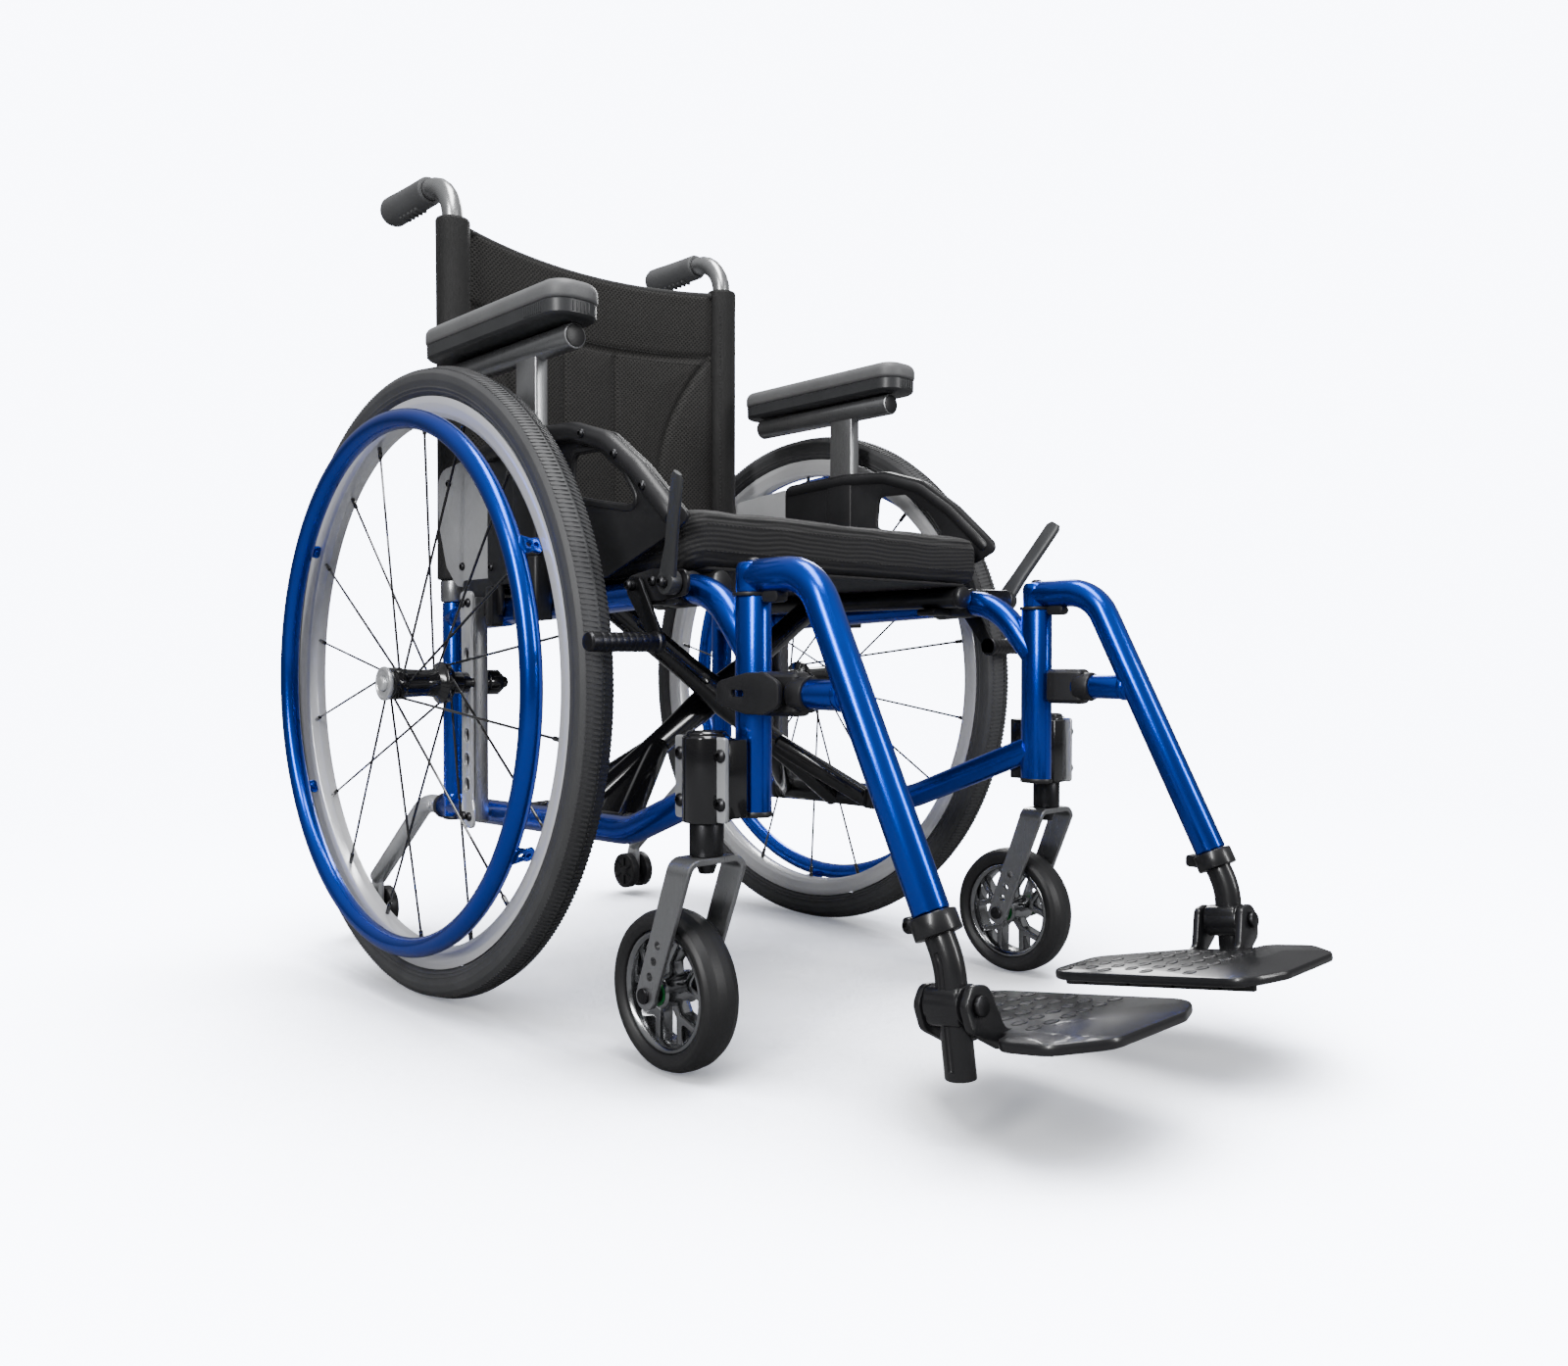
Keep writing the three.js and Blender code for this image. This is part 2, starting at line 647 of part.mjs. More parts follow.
function casterWheel() {
  const rimHalf = casterWidth / 2 - 4;
  const rim = turned([
    [casterSeat - gap, -rimHalf], [casterSeat - gap, rimHalf], [casterSeat - 7, rimHalf], [casterSeat - 7, -rimHalf],
  ], casterSides);
  const hub = rod([-18, 0, 0], [18, 0, 0], 13, 12);
  const spokes = Array.from({ length: 5 }, (_, i) => box([-5, 5], [-4, 4], [8, casterSeat - 4])
    .rotateX((i * 2 * Math.PI) / 5));
  return cut(join(rim, hub, ...spokes), rod([-20, 0, 0], [20, 0, 0], 4 + runningGap));
}

// ---- Footrest --------------------------------------------------------------------------------

const footHinge = [postX + 2, hangerEndY - 16, footHingeZ];
const crossTubeZ = hangerZ - 91;
const housingX = [postX - 13, postX + 14];

function hanger() {
  const leanAt = (z) => postY - hangerReach - (hangerZ - z) * hangerLean;
  return join(
    rod([postX, postY, postTop + gap], [postX, postY, hangerZ + 12], hangerTube, 12),
    pipe([
      [postX, postY, hangerZ],
      [postX, postY - hangerReach, hangerZ],
      [postX + 4, hangerEndY, hangerEndZ],
    ], hangerTube, 42, 10),
    rod([postX + 1, leanAt(crossTubeZ), crossTubeZ], [postX, postY - 40, crossTubeZ], 11.5, 10),
    box(housingX, [postY - 49, postY - postDepth / 2 - 1.7], [crossTubeZ - 16, crossTubeZ + 17]),
  );
}

function hangerLatch() {
  const outline = [
    [postY - 45, crossTubeZ - 12], [postY + 10, crossTubeZ - 8], [postY + 14, crossTubeZ],
    [postY + 10, crossTubeZ + 8], [postY - 45, crossTubeZ + 13],
  ];
  return sideSheet(outline, [housingX[1] + 3, housingX[1] + 7]);
}

const hangerAngle = Math.atan(hangerLean);
const pastHanger = (distance) => [
  postX + 4,
  hangerEndY - distance * Math.sin(hangerAngle),
  hangerEndZ - distance * Math.cos(hangerAngle),
];
const collarStart = 3 * gap;
const extensionRoute = [
  pastHanger(collarStart),
  pastHanger(34),
  [postX + 2, hangerEndY - 24, footHingeZ - 48],
];

function extension() {
  return join(
    pipe(extensionRoute, extensionTube, 60, 10),
    rod(pastHanger(collarStart), pastHanger(collarStart + 22), hangerTube + 3.5, 12),
  );
}

// What belongs to the footplate is modelled about its hinge, before the footplate's tilt.
const toFootFrame = (geometry) => geometry
  .translate(-footHinge[0], -footHinge[1], -footHinge[2])
  .rotateX(footTilt);

const pinEnds = [17, 25];

function footBracket() {
  const bore = toFootFrame(pipe(extensionRoute, extensionTube + gap, 60, 10));
  const clamp = cut(box([-17, 17], [-16, 16], [-14, 14]), bore);
  return join(clamp, ...[-1, 1].map((side) => rod([0, side * 15, 0], [0, side * pinEnds[1], 0], 4)));
}

function footplate() {
  const top = -21;
  const inner = -20 - footplateWidth;
  const rear = footplateLength * 0.475;
  const front = rear - footplateLength;
  const outline = [
    [inner, rear], [inner, front + 15], [inner + 44, front], [-27, front], [3, front + 30], [3, -32], [-20, -28], [-20, rear],
  ];
  const cheek = [[-9, 8], [-20, -20], [-46, -24], [-46, -33], [-18, -33], [9, -10], [9, 8]];
  const plate = join(
    flatSlab(outline, [top - footplateThickness, top]),
    ...[-1, 1].map((side) => frontSheet(cheek, side > 0 ? [pinEnds[0], pinEnds[0] + 6] : [-pinEnds[0] - 6, -pinEnds[0]])),
  );
  return cut(plate, rod([0, -40, 0], [0, 40, 0], 4 + runningGap));
}

// ---- Anti-tipper -----------------------------------------------------------------------------

const tipperZ = tipperWheelRadius + 9;

function tipperArm() {
  const start = rearPostY + 23 + 2 * gap;
  const fork = cut(
    box([frameHalf - 4, frameHalf + 4], [tipperReach - 11, tipperReach + 11], [tipperZ - 10, tipperZ + 38]),
    rod([frameHalf - 10, tipperReach, tipperZ], [frameHalf + 10, tipperReach, tipperZ], 3 + runningGap),
  );
  return join(
    pipe([
      [frameHalf, start, lowerZ],
      [frameHalf, start + 44, lowerZ],
      [frameHalf, tipperReach - 3, tipperZ + 36],
    ], tipperTube, 50, 10),
    fork,
  );
}

function tipperWheel() {
  return turned([
    [0, -17], [tipperWheelRadius, -17], [tipperWheelRadius, -6], [3, -6],
    [3, 6], [tipperWheelRadius, 6], [tipperWheelRadius, 17], [0, 17],
  ], 16);
}

// ---- Assembly --------------------------------------------------------------------------------

placePair('side_frame', sideFrame(), 'bluePaint');
placePair('back_cane', backCane(), 'silver');
placePair('push_grip', pushGrip(), 'grip');
placePair('back_sleeve', backSleeve(), 'cloth');
place('back_panel', backPanel(), 'cloth');

placePair('axle_plate', axlePlate(), 'silver');
const wheelCentre = [wheelX, 0, axleZ];
placePair('rear_tyre', rearTyre(), 'rubber', wheelCentre);
placePair('wheel_rim', wheelRim(), 'silver', wheelCentre);
placePair('wheel_hub', wheelHub(), 'blackPaint', wheelCentre);
placePair('release_button', releaseButton(), 'silver', wheelCentre);
placePair('handrim', handrim(), 'bluePaint', wheelCentre);

place('cross_arm_a', crossArmA(), 'blackPaint');
place('cross_arm_b', crossArmB(), 'blackPaint');
place('seat_sling', seatSling(), 'cloth');
place('seat_cushion', seatCushion(), 'cloth');

placePair('arm_pad', armPad(), 'armFoam');
placePair('arm_post', armPost(), 'blackPaint');
placePair('side_guard', sideGuard(), 'moulding');

placePair('brake_body', brakeBody(), 'blackPaint');
placePair('brake_shoe', brakeShoe(), 'blackPaint');
placePair('brake_lever', brakeLever(), 'moulding');

const casterAxle = [casterX, casterY + casterTrail, casterRadius];
placePair('caster_housing', casterHousing(), 'blackPaint');
placePair('caster_fork', casterFork(), 'gunmetal');
placePair('caster_wheel', casterWheel(), 'gunmetal', casterAxle);
placePair('caster_tyre', casterTyre(), 'rubber', casterAxle);

placePair('hanger', hanger(), 'bluePaint');
placePair('hanger_latch', hangerLatch(), 'moulding');
placePair('extension_tube', extension(), 'blackPaint');
placePair('footplate_bracket', footBracket(), 'moulding', footHinge, -footTilt);
placePair('footplate', footplate(), 'moulding', footHinge, -footTilt);

placePair('tipper_arm', tipperArm(), 'silver');
placePair('tipper_wheel', tipperWheel(), 'rubber', [frameHalf, tipperReach, tipperZ]);

const extent = new THREE.Box3().setFromObject(chair);
chair.position.y = -(extent.min.y + extent.max.y) / 2;

const wheelchair = new THREE.Group();
wheelchair.add(chair);

export default wheelchair;
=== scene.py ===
# %% [markdown]
# # A folding wheelchair, dressed for its portrait
# The pieces here are smooth, detailed stand-ins for its solids, with small fittings added, and each
# one rides on a moving body of the model. Sizes are in millimetres and y = 0 is the rear axle,
# because that is how a wheelchair is measured; one helper turns them into metres in the shared
# frame.

# %% Load the frame
import math
import random

import bmesh
import bpy
from mathutils import Matrix, Vector


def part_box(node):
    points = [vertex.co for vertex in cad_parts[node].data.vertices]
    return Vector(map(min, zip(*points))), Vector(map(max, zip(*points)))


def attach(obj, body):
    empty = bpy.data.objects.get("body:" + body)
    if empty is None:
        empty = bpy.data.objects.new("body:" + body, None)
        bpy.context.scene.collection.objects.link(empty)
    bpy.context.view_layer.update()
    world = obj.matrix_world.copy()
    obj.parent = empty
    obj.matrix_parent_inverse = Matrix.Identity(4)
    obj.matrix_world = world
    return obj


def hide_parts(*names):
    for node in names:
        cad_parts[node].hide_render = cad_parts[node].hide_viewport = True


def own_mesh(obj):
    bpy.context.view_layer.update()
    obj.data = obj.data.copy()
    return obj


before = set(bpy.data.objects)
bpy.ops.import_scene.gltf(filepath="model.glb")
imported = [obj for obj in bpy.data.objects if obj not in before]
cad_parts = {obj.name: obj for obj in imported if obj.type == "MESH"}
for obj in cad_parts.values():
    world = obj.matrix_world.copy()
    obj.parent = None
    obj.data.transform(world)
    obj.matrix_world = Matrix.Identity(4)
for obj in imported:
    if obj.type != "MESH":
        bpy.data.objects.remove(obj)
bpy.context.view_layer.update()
MM = 0.001


def middle(node):
    low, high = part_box(node)
    return [(a + b) / 2 / MM for a, b in zip(low, high)]


def size(node):
    low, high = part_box(node)
    return [(b - a) / MM for a, b in zip(low, high)]


WHEEL_X, AXLE_Y, AXLE_Z = middle("rear_tyre_left")
TYRE_R = size("rear_tyre_left")[2] / 2
FRAME_X = middle("back_cane_left")[0]
CANE_Y = middle("back_sleeve_left")[1] - AXLE_Y
CASTER_X, caster_y, CASTER_R = middle("caster_tyre_left")
CASTER_Y = caster_y - AXLE_Y
print("rear wheel", WHEEL_X, TYRE_R, "frame", FRAME_X, "caster", CASTER_X, CASTER_Y, CASTER_R)

# %% [markdown]
# ## Shapes
# A shape is a list of corners and a list of faces. Tubes are swept along rounded routes, wheels and
# hubs are turned from a profile, and plates are outlines with thickness and a small bevel, because a
# hard edge never catches the light the way a real one does.

# %% Rounded routes and outlines


def rounded_route(corners, bend, steps=7, closed=False):
    """Points along straight runs whose corners are arcs of radius bend."""
    points = [Vector(c) for c in corners]
    count = len(points)
    route = [] if closed else [points[0]]
    for i in range(count) if closed else range(1, count - 1):
        here = points[i]
        before, after = here - points[i - 1], points[(i + 1) % count] - here
        turn = before.angle(after, 0)
        if turn < 0.02 or bend <= 0:
            route.append(here)
            continue
        setback = min(bend * math.tan(turn / 2), before.length * 0.48, after.length * 0.48)
        start, end = here - before.normalized() * setback, here + after.normalized() * setback
        inward = (after.normalized() - before.normalized()).normalized()
        centre = here + inward * (setback / math.sin(turn / 2))
        for k in range(steps + 1):
            share = k / steps
            arm = (start - centre) * math.sin((1 - share) * turn) + (end - centre) * math.sin(share * turn)
            route.append(centre + arm / math.sin(turn))
    return route if closed else route + [points[-1]]


def soften(outline, radius, steps=3, closed=True):
    """A flat outline with round corners."""
    return [p.to_2d() for p in rounded_route([(a, b, 0) for a, b in outline], radius, steps, closed)]


# %% Tubes


def tube(corners, radius, bend=40, sides=28, wide=1.0, soft=1.0, swell=None):
    """A bar along a route. wide stretches its section sideways; swell scales its radius along the way."""
    route = rounded_route(corners, bend)
    lengths = [0.0]
    for a, b in zip(route, route[1:]):
        lengths.append(lengths[-1] + (b - a).length)
    total = lengths[-1]
    stations = [(p, s, 0.0) for p, s in zip(route, lengths)]
    first = (route[1] - route[0]).normalized()
    last = (route[-1] - route[-2]).normalized()
    stations = (
        [(route[0], 0, soft), (route[0] + first * soft * 0.3, 0, soft * 0.3),
         (route[0] + first * soft, 0, 0)]
        + stations[1:-1]
        + [(route[-1] - last * soft, total, 0), (route[-1] - last * soft * 0.3, total, soft * 0.3),
           (route[-1], total, soft)]
    )
    verts, faces = [], []
    side = Vector((1, 0, 0))
    for i, (point, along, inset) in enumerate(stations):
        ahead = stations[min(i + 1, len(stations) - 1)][0] - stations[max(i - 1, 0)][0]
        ahead.normalize()
        side = side - ahead * side.dot(ahead)
        if side.length < 0.05:
            side = ahead.orthogonal()
        side.normalize()
        up = ahead.cross(side)
        here = (radius * (swell(along / total) if swell else 1)) - inset
        for k in range(sides):
            angle = 2 * math.pi * k / sides
            verts.append(point + side * (math.cos(angle) * here * wide) + up * (math.sin(angle) * here))
    for i in range(len(stations) - 1):
        for k in range(sides):
            a, b = i * sides + k, i * sides + (k + 1) % sides
            faces.append((a, b, b + sides, a + sides))
    faces.append(tuple(reversed(range(sides))))
    faces.append(tuple(range(len(verts) - sides, len(verts))))
    return verts, faces


# %% Turned pieces


def turned(profile, centre=(0, 0, 0), axis="x", sides=96, soft=0.0, ring=False):
    """Profile corners are (radius, place along the axis). A ring closes on itself; others end on the axis."""
    outline = soften(profile, soft, 2, ring) if soft else [Vector(p) for p in profile]
    verts, faces, rows = [], [], []
    for radius, along in outline:
        row = []
        for k in range(1 if radius < 1e-6 else sides):
            angle = 2 * math.pi * (k + 0.5) / sides
            across, up = radius * math.cos(angle), radius * math.sin(angle)
            place = {"x": (along, across, up), "y": (across, along, up), "z": (across, up, along)}[axis]
            row.append(len(verts))
            verts.append(Vector(place) + Vector(centre))
        rows.append(row)
    for a, b in zip(rows, rows[1:] + rows[:1] if ring else rows[1:]):
        for k in range(sides):
            n = (k + 1) % sides
            if len(a) == 1 and len(b) == 1:
                continue
            if len(a) == 1:
                faces.append((a[0], b[n], b[k]))
            elif len(b) == 1:
                faces.append((a[k], a[n], b[0]))
            else:
                faces.append((a[k], a[n], b[n], b[k]))
    return verts, faces


def disc(centre, radius, thick, axis="x", soft=0.6, sides=24):
    """A low round boss or bolt head, from its centre."""
    half = thick / 2
    return turned([(0, -half), (radius, -half), (radius, half), (0, half)], centre, axis, sides, soft)


# %% Plates and blocks


def grown(outline, amount):
    """The outline moved outward by amount."""
    points = [Vector(p) for p in outline]
    turn = sum(a.x * b.y - b.x * a.y for a, b in zip(points, points[1:] + points[:1]))
    sign = 1 if turn > 0 else -1
    result = []
    for i, here in enumerate(points):
        before = (here - points[i - 1]).normalized()
        after = (points[(i + 1) % len(points)] - here).normalized()
        out = Vector((before.y + after.y, -before.x - after.x)) * sign
        out.normalize()
        lean = max(0.5, out.dot(Vector((before.y, -before.x)) * sign))
        result.append(here + out * amount / lean)
    return result


def plate(outline, span, facing="x", bevel=1.0, holes=()):
    """An outline with thickness and bevelled edges. facing is the axis that its thickness runs along."""
    low, high = span
    bevel = min(bevel, (high - low) * 0.45)
    levels = [(low, -bevel), (low + bevel * 0.3, -bevel * 0.3), (low + bevel, 0)]
    levels += [(high - bevel, 0), (high - bevel * 0.3, -bevel * 0.3), (high, -bevel)]
    mesh = bmesh.new()
    ends = {0: [], len(levels) - 1: []}
    for loop, sign in [(outline, 1)] + [(hole, -1) for hole in holes]:
        rows = []
        for depth, inset in levels:
            row = []
            for a, b in grown(loop, inset * sign):
                place = {"x": (depth, a, b), "y": (a, depth, b), "z": (a, b, depth)}[facing]
                row.append(mesh.verts.new(place))
            rows.append(row)
        for i, (lower, upper) in enumerate(zip(rows, rows[1:])):
            for k in range(len(lower)):
                n = (k + 1) % len(lower)
                mesh.faces.new((lower[k], lower[n], upper[n], upper[k]))
        for level in ends:
            row = rows[level]
            ends[level] += [mesh.edges.get((row[k - 1], row[k])) for k in range(len(row))]
    for edges in ends.values():
        bmesh.ops.triangle_fill(mesh, use_beauty=True, edges=edges)
    mesh.verts.index_update()
    verts = [v.co.copy() for v in mesh.verts]
    faces = [tuple(v.index for v in f.verts) for f in mesh.faces]
    mesh.free()
    return verts, faces


def block(xs, ys, zs, corner=2.0, bevel=1.0, facing="x"):
    spans = {"x": (ys, zs, xs), "y": (xs, zs, ys), "z": (xs, ys, zs)}[facing]
    (a0, a1), (b0, b1), depth = spans
    outline = soften([(a0, b0), (a1, b0), (a1, b1), (a0, b1)], corner)
    return plate(outline, depth, facing, bevel)


def hole_at(a, b, radius, sides=20, tall=1.0):
    return [(a + radius * math.cos(t), b + radius * tall * math.sin(t))
            for t in (2 * math.pi * k / sides for k in range(sides))]


def moved(shape, change):
    verts, faces = shape
    return [change @ v for v in verts], faces


# %% From shapes to pieces


def in_frame(point):
    return Vector((point[0], point[1] + AXLE_Y, point[2])) * MM


def mesh_of(shapes, name="shape"):
    """One clean mesh, in metres in the shared frame, from shapes in millimetres about the rear axle."""
    verts, faces = [], []
    for corners, sides in shapes:
        start = len(verts)
        verts += [in_frame(v) for v in corners]
        faces += [tuple(start + i for i in face) for face in sides]
    mesh = bpy.data.meshes.new(name)
    mesh.from_pydata(verts, [], faces)
    return cleaned(mesh)


def cleaned(mesh):
    work = bmesh.new()
    work.from_mesh(mesh)
    bmesh.ops.remove_doubles(work, verts=work.verts, dist=1e-6)
    bmesh.ops.dissolve_degenerate(work, edges=work.edges, dist=1e-7)
    bmesh.ops.recalc_face_normals(work, faces=work.faces)
    work.to_mesh(mesh)
    work.free()
    return mesh


def mirrored(mesh):
    other = mesh.copy()
    other.transform(Matrix.Scale(-1, 4, (1, 0, 0)))
    other.flip_normals()
    return other


def piece(name, mesh, body, finish, nodes=(), crease=35):
    """One named object that rides on a body and stands for CAD nodes."""
    mesh.name = name
    for polygon in mesh.polygons:
        polygon.use_smooth = True
    mesh.set_sharp_from_angle(angle=math.radians(crease))
    mesh.materials.clear()
    mesh.materials.append(finish)
    thing = bpy.data.objects.new(name, mesh)
    bpy.context.scene.collection.objects.link(thing)
    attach(thing, body)
    if nodes:
        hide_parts(*nodes)
    return thing


def pair(name, mesh, body, finish, nodes=(), crease=35):
    """The same piece on both sides. A star in a name stands for left or right."""
    made = []
    for side, copy in (("left", mesh), ("right", mirrored(mesh))):
        own = [node.replace("*", side) for node in nodes]
        made.append(piece(f"{name}_{side}", copy, body.replace("*", side), finish, own, crease))
    return made


# %% [markdown]
# ## Node trees
# Shader maths reads best as plain expressions, so a small class wraps an output socket and turns
# `1 - mask` into a Math node. Every other node, in materials and in Geometry Nodes, comes from one
# method that takes its type, its settings and what its sockets are joined to.

# %% Wires and trees


class Wire:
    def __init__(self, graph, socket):
        self.graph, self.socket = graph, socket

    def maths(self, operation, *others):
        return self.graph.add("ShaderNodeMath", {"operation": operation}, dict(enumerate((self, *others))))

    def __add__(self, other):
        return self.maths("ADD", other)

    __radd__ = __add__

    def __sub__(self, other):
        return self.maths("SUBTRACT", other)

    def __rsub__(self, other):
        return (self * -1) + other

    def __mul__(self, other):
        return self.maths("MULTIPLY", other)

    __rmul__ = __mul__

    def __pow__(self, other):
        return self.maths("POWER", other)

    def sin(self):
        return self.maths("SINE")

    def abs(self):
        return self.maths("ABSOLUTE")

    def step(self, low, high):
        """0 below low, 1 above high, and smooth between."""
        return self.graph.add("ShaderNodeMapRange", {"interpolation_type": "SMOOTHSTEP"},
                              {"Value": self, "From Min": low, "From Max": high})


class Graph:
    """A node tree under construction."""

    def __init__(self, tree):
        self.tree = tree

    def add(self, kind, settings=None, sockets=None, out=0):
        node = self.tree.nodes.new(kind)
        for key, value in (settings or {}).items():
            setattr(node, key, value)
        for key, value in (sockets or {}).items():
            self.join(value, node.inputs[key])
        return Wire(self, node.outputs[out]) if len(node.outputs) else None

    def join(self, value, socket):
        if isinstance(value, Wire):
            self.tree.links.new(value.socket, socket)
        elif value is not None:
            socket.default_value = value

    def split(self, vector):
        node = self.tree.nodes.new("ShaderNodeSeparateXYZ")
        self.join(vector, node.inputs[0])
        return [Wire(self, output) for output in node.outputs]


class Finish(Graph):
    """A material: object coordinates come in, and a Principled BSDF goes out."""

    def __init__(self, name):
        self.material = bpy.data.materials.new(name)
        self.material.use_nodes = True
        super().__init__(self.material.node_tree)
        self.tree.nodes.clear()
        self.place = self.add("ShaderNodeTexCoord", out="Object")

    def noise(self, scale, detail=3, rough=0.5, stretch=None):
        where = self.place
        if stretch:
            where = self.add("ShaderNodeMapping", None, {"Vector": where, "Scale": stretch})
        return self.add("ShaderNodeTexNoise", None,
                        {"Vector": where, "Scale": scale, "Detail": detail, "Roughness": rough})

    def blend(self, share, low, high):
        sockets = {0: share, 6: (*low, 1), 7: (*high, 1)}
        return self.add("ShaderNodeMix", {"data_type": "RGBA"}, sockets, out=2)

    def bump(self, height, distance, strength=1.0, over=None):
        return self.add("ShaderNodeBump", None,
                        {"Height": height, "Distance": distance, "Strength": strength, "Normal": over})

    def finished(self, **sockets):
        names = {key.replace("_", " ").title(): value for key, value in sockets.items()}
        names = {{"Ior": "IOR"}.get(key, key): value for key, value in names.items()}
        shader = self.add("ShaderNodeBsdfPrincipled", None, names)
        self.add("ShaderNodeOutputMaterial", None, {"Surface": shader})
        return self.material


# %% [markdown]
# ## Finishes
# Candy paint is a metallic colour under clear lacquer; powder coat is satin with a fine orange peel;
# anodised and brushed alloy show faint lines; rubber, foam skin and moulded plastic each have their
# own grain. The numbers in metres are the real sizes of that grain.

# %% Paint and metal


def paint(name, dark, light, metallic, roughness, coat, peel):
    finish = Finish(name)
    drift = finish.noise(9, 2)
    flake = finish.noise(2600, 2)
    colour = finish.blend(drift * 0.7 + flake * 0.3, dark, light)
    height = finish.noise(420, 2) + finish.noise(1900, 1) * 0.25
    return finish.finished(
        base_color=colour,
        metallic=metallic,
        roughness=drift * 0.08 + roughness,
        coat_weight=coat,
        coat_roughness=0.03,
        normal=finish.bump(height, peel),
    )


def metal(name, dark, light, roughness, brushed=(1, 1, 1), line=1.5e-5, metallic=1.0):
    finish = Finish(name)
    grain = finish.noise(900, 4, 0.6, brushed)
    cloud = finish.noise(30, 2)
    return finish.finished(
        base_color=finish.blend(grain * 0.6 + cloud * 0.4, dark, light),
        metallic=metallic,
        roughness=grain * 0.16 + roughness,
        normal=finish.bump(grain, line),
    )


BLUE = paint("candy blue lacquer", (0.0, 0.046, 0.46), (0.0, 0.080, 0.72), 0.92, 0.21, 0.5, 3e-6)
BLACK = paint("black powder coat", (0.008, 0.008, 0.009), (0.016, 0.016, 0.018), 0.0, 0.27, 0.25, 1.2e-5)
GLOSS = paint("black gloss lacquer", (0.004, 0.004, 0.005), (0.008, 0.008, 0.009), 0.0, 0.16, 0.8, 5e-6)
SILVER = metal("silver alloy", (0.66, 0.67, 0.69), (0.84, 0.85, 0.87), 0.16, metallic=0.66)
CANE = metal("satin alloy", (0.44, 0.445, 0.45), (0.60, 0.605, 0.61), 0.20)
RIM = metal("rim alloy", (0.86, 0.865, 0.88), (0.96, 0.965, 0.98), 0.14, metallic=0.4)
POLISHED = metal("polished gunmetal", (0.24, 0.244, 0.25), (0.46, 0.465, 0.475), 0.09)
BRIGHT = metal("machined alloy", (0.74, 0.75, 0.76), (0.90, 0.91, 0.92), 0.12, (1, 0.02, 0.02),
               metallic=0.6)
GUNMETAL = metal("brushed gunmetal", (0.26, 0.265, 0.272), (0.43, 0.436, 0.446), 0.22, (1, 1, 0.04), 2.5e-5,
                 0.85)
STEEL = metal("black oxide steel", (0.035, 0.035, 0.037), (0.075, 0.075, 0.08), 0.3)

# %% Rubber, foam and moulded plastic


def skin(name, dark, light, roughness, grain, depth, sheen=0.0, coat=0.0):
    """A moulded surface with pebble grain: grain is its pitch in metres, depth its height."""
    finish = Finish(name)
    pebbles = finish.add("ShaderNodeTexVoronoi", None, {"Vector": finish.place, "Scale": 1 / grain})
    cloud = finish.noise(25, 3)
    return finish.finished(
        base_color=finish.blend(cloud * 0.8 + pebbles * 0.2, dark, light),
        roughness=cloud * 0.14 + roughness,
        sheen_weight=sheen,
        coat_weight=coat,
        coat_roughness=0.25,
        normal=finish.bump(pebbles, depth),
    )


TYRE = skin("tyre rubber", (0.040, 0.041, 0.043), (0.075, 0.076, 0.079), 0.50, 0.0016, 4e-5)
ROLLER = skin("caster tread", (0.011, 0.011, 0.012), (0.022, 0.022, 0.023), 0.40, 0.0011, 1.2e-5)
GRIP = skin("grip rubber", (0.070, 0.071, 0.074), (0.115, 0.117, 0.121), 0.48, 0.0014, 5e-5)
PLASTIC = skin("moulded black plastic", (0.010, 0.010, 0.011), (0.020, 0.020, 0.022), 0.34, 0.0008, 1.8e-5)
FOAM = skin("arm pad skin", (0.092, 0.093, 0.096), (0.158, 0.160, 0.164), 0.42, 0.0012, 4.5e-5, 0.15)
LEVER = skin("lever plastic", (0.030, 0.031, 0.033), (0.052, 0.054, 0.057), 0.30, 0.0009, 1.5e-5)
PANEL = skin("grey guard panel", (0.30, 0.304, 0.312), (0.42, 0.425, 0.436), 0.34, 0.0009, 1.5e-5, 0, 0.15)
SEAL = skin("green bearing seal", (0.01, 0.20, 0.04), (0.02, 0.35, 0.08), 0.4, 0.0009, 1e-5)

# %% Cloth


def mesh_cloth(name, dark, light, pitch, depth):
    """Spacer mesh: rows of small open cells, staggered, with the lighter yarn between them."""
    finish = Finish(name)
    x, y, z = finish.split(finish.place)
    turn = math.pi / pitch
    cells = (((x + z) * turn).sin() * ((x - z) * turn).sin()).abs()
    open_cell = cells.step(0.35, 0.75)
    cloud = finish.noise(14, 3)
    fibre = finish.noise(3200, 2)
    tint = (1 - open_cell) * 0.75 + cloud * 0.15 + fibre * 0.1
    return finish.finished(
        base_color=finish.blend(tint, dark, light),
        roughness=open_cell * 0.15 + 0.72,
        sheen_weight=0.04,
        sheen_roughness=0.4,
        normal=finish.bump((1 - open_cell) + fibre * 0.12, depth),
    )


def stretch_cloth(name, dark, light, pitch, depth, rib=0):
    """Knitted stretch cover: diagonal wales over a soft nap, and wavy ribs if rib gives their pitch."""
    finish = Finish(name)
    x, y, z = finish.split(finish.place)
    turn = 2 * math.pi / pitch
    wale = ((x + z) * turn).sin() * ((y - z) * turn).sin()
    cloud = finish.noise(18, 4)
    fibre = finish.noise(2400, 2)
    weave = finish.bump(wale * 0.5 + fibre * 0.5, depth)
    if rib:
        drawn = z + y * 0.3 + finish.noise(7, 2) * 0.020
        weave = finish.bump((drawn * (2 * math.pi / rib)).sin() * 0.5 + 0.5, 5e-4, 0.8, weave)
    return finish.finished(
        base_color=finish.blend(cloud * 0.5 + fibre * 0.3 + wale * 0.1, dark, light),
        roughness=cloud * 0.2 + 0.62,
        sheen_weight=0.09,
        sheen_roughness=0.4,
        normal=finish.bump(finish.noise(45, 3), 7e-4, 0.35, weave),
    )


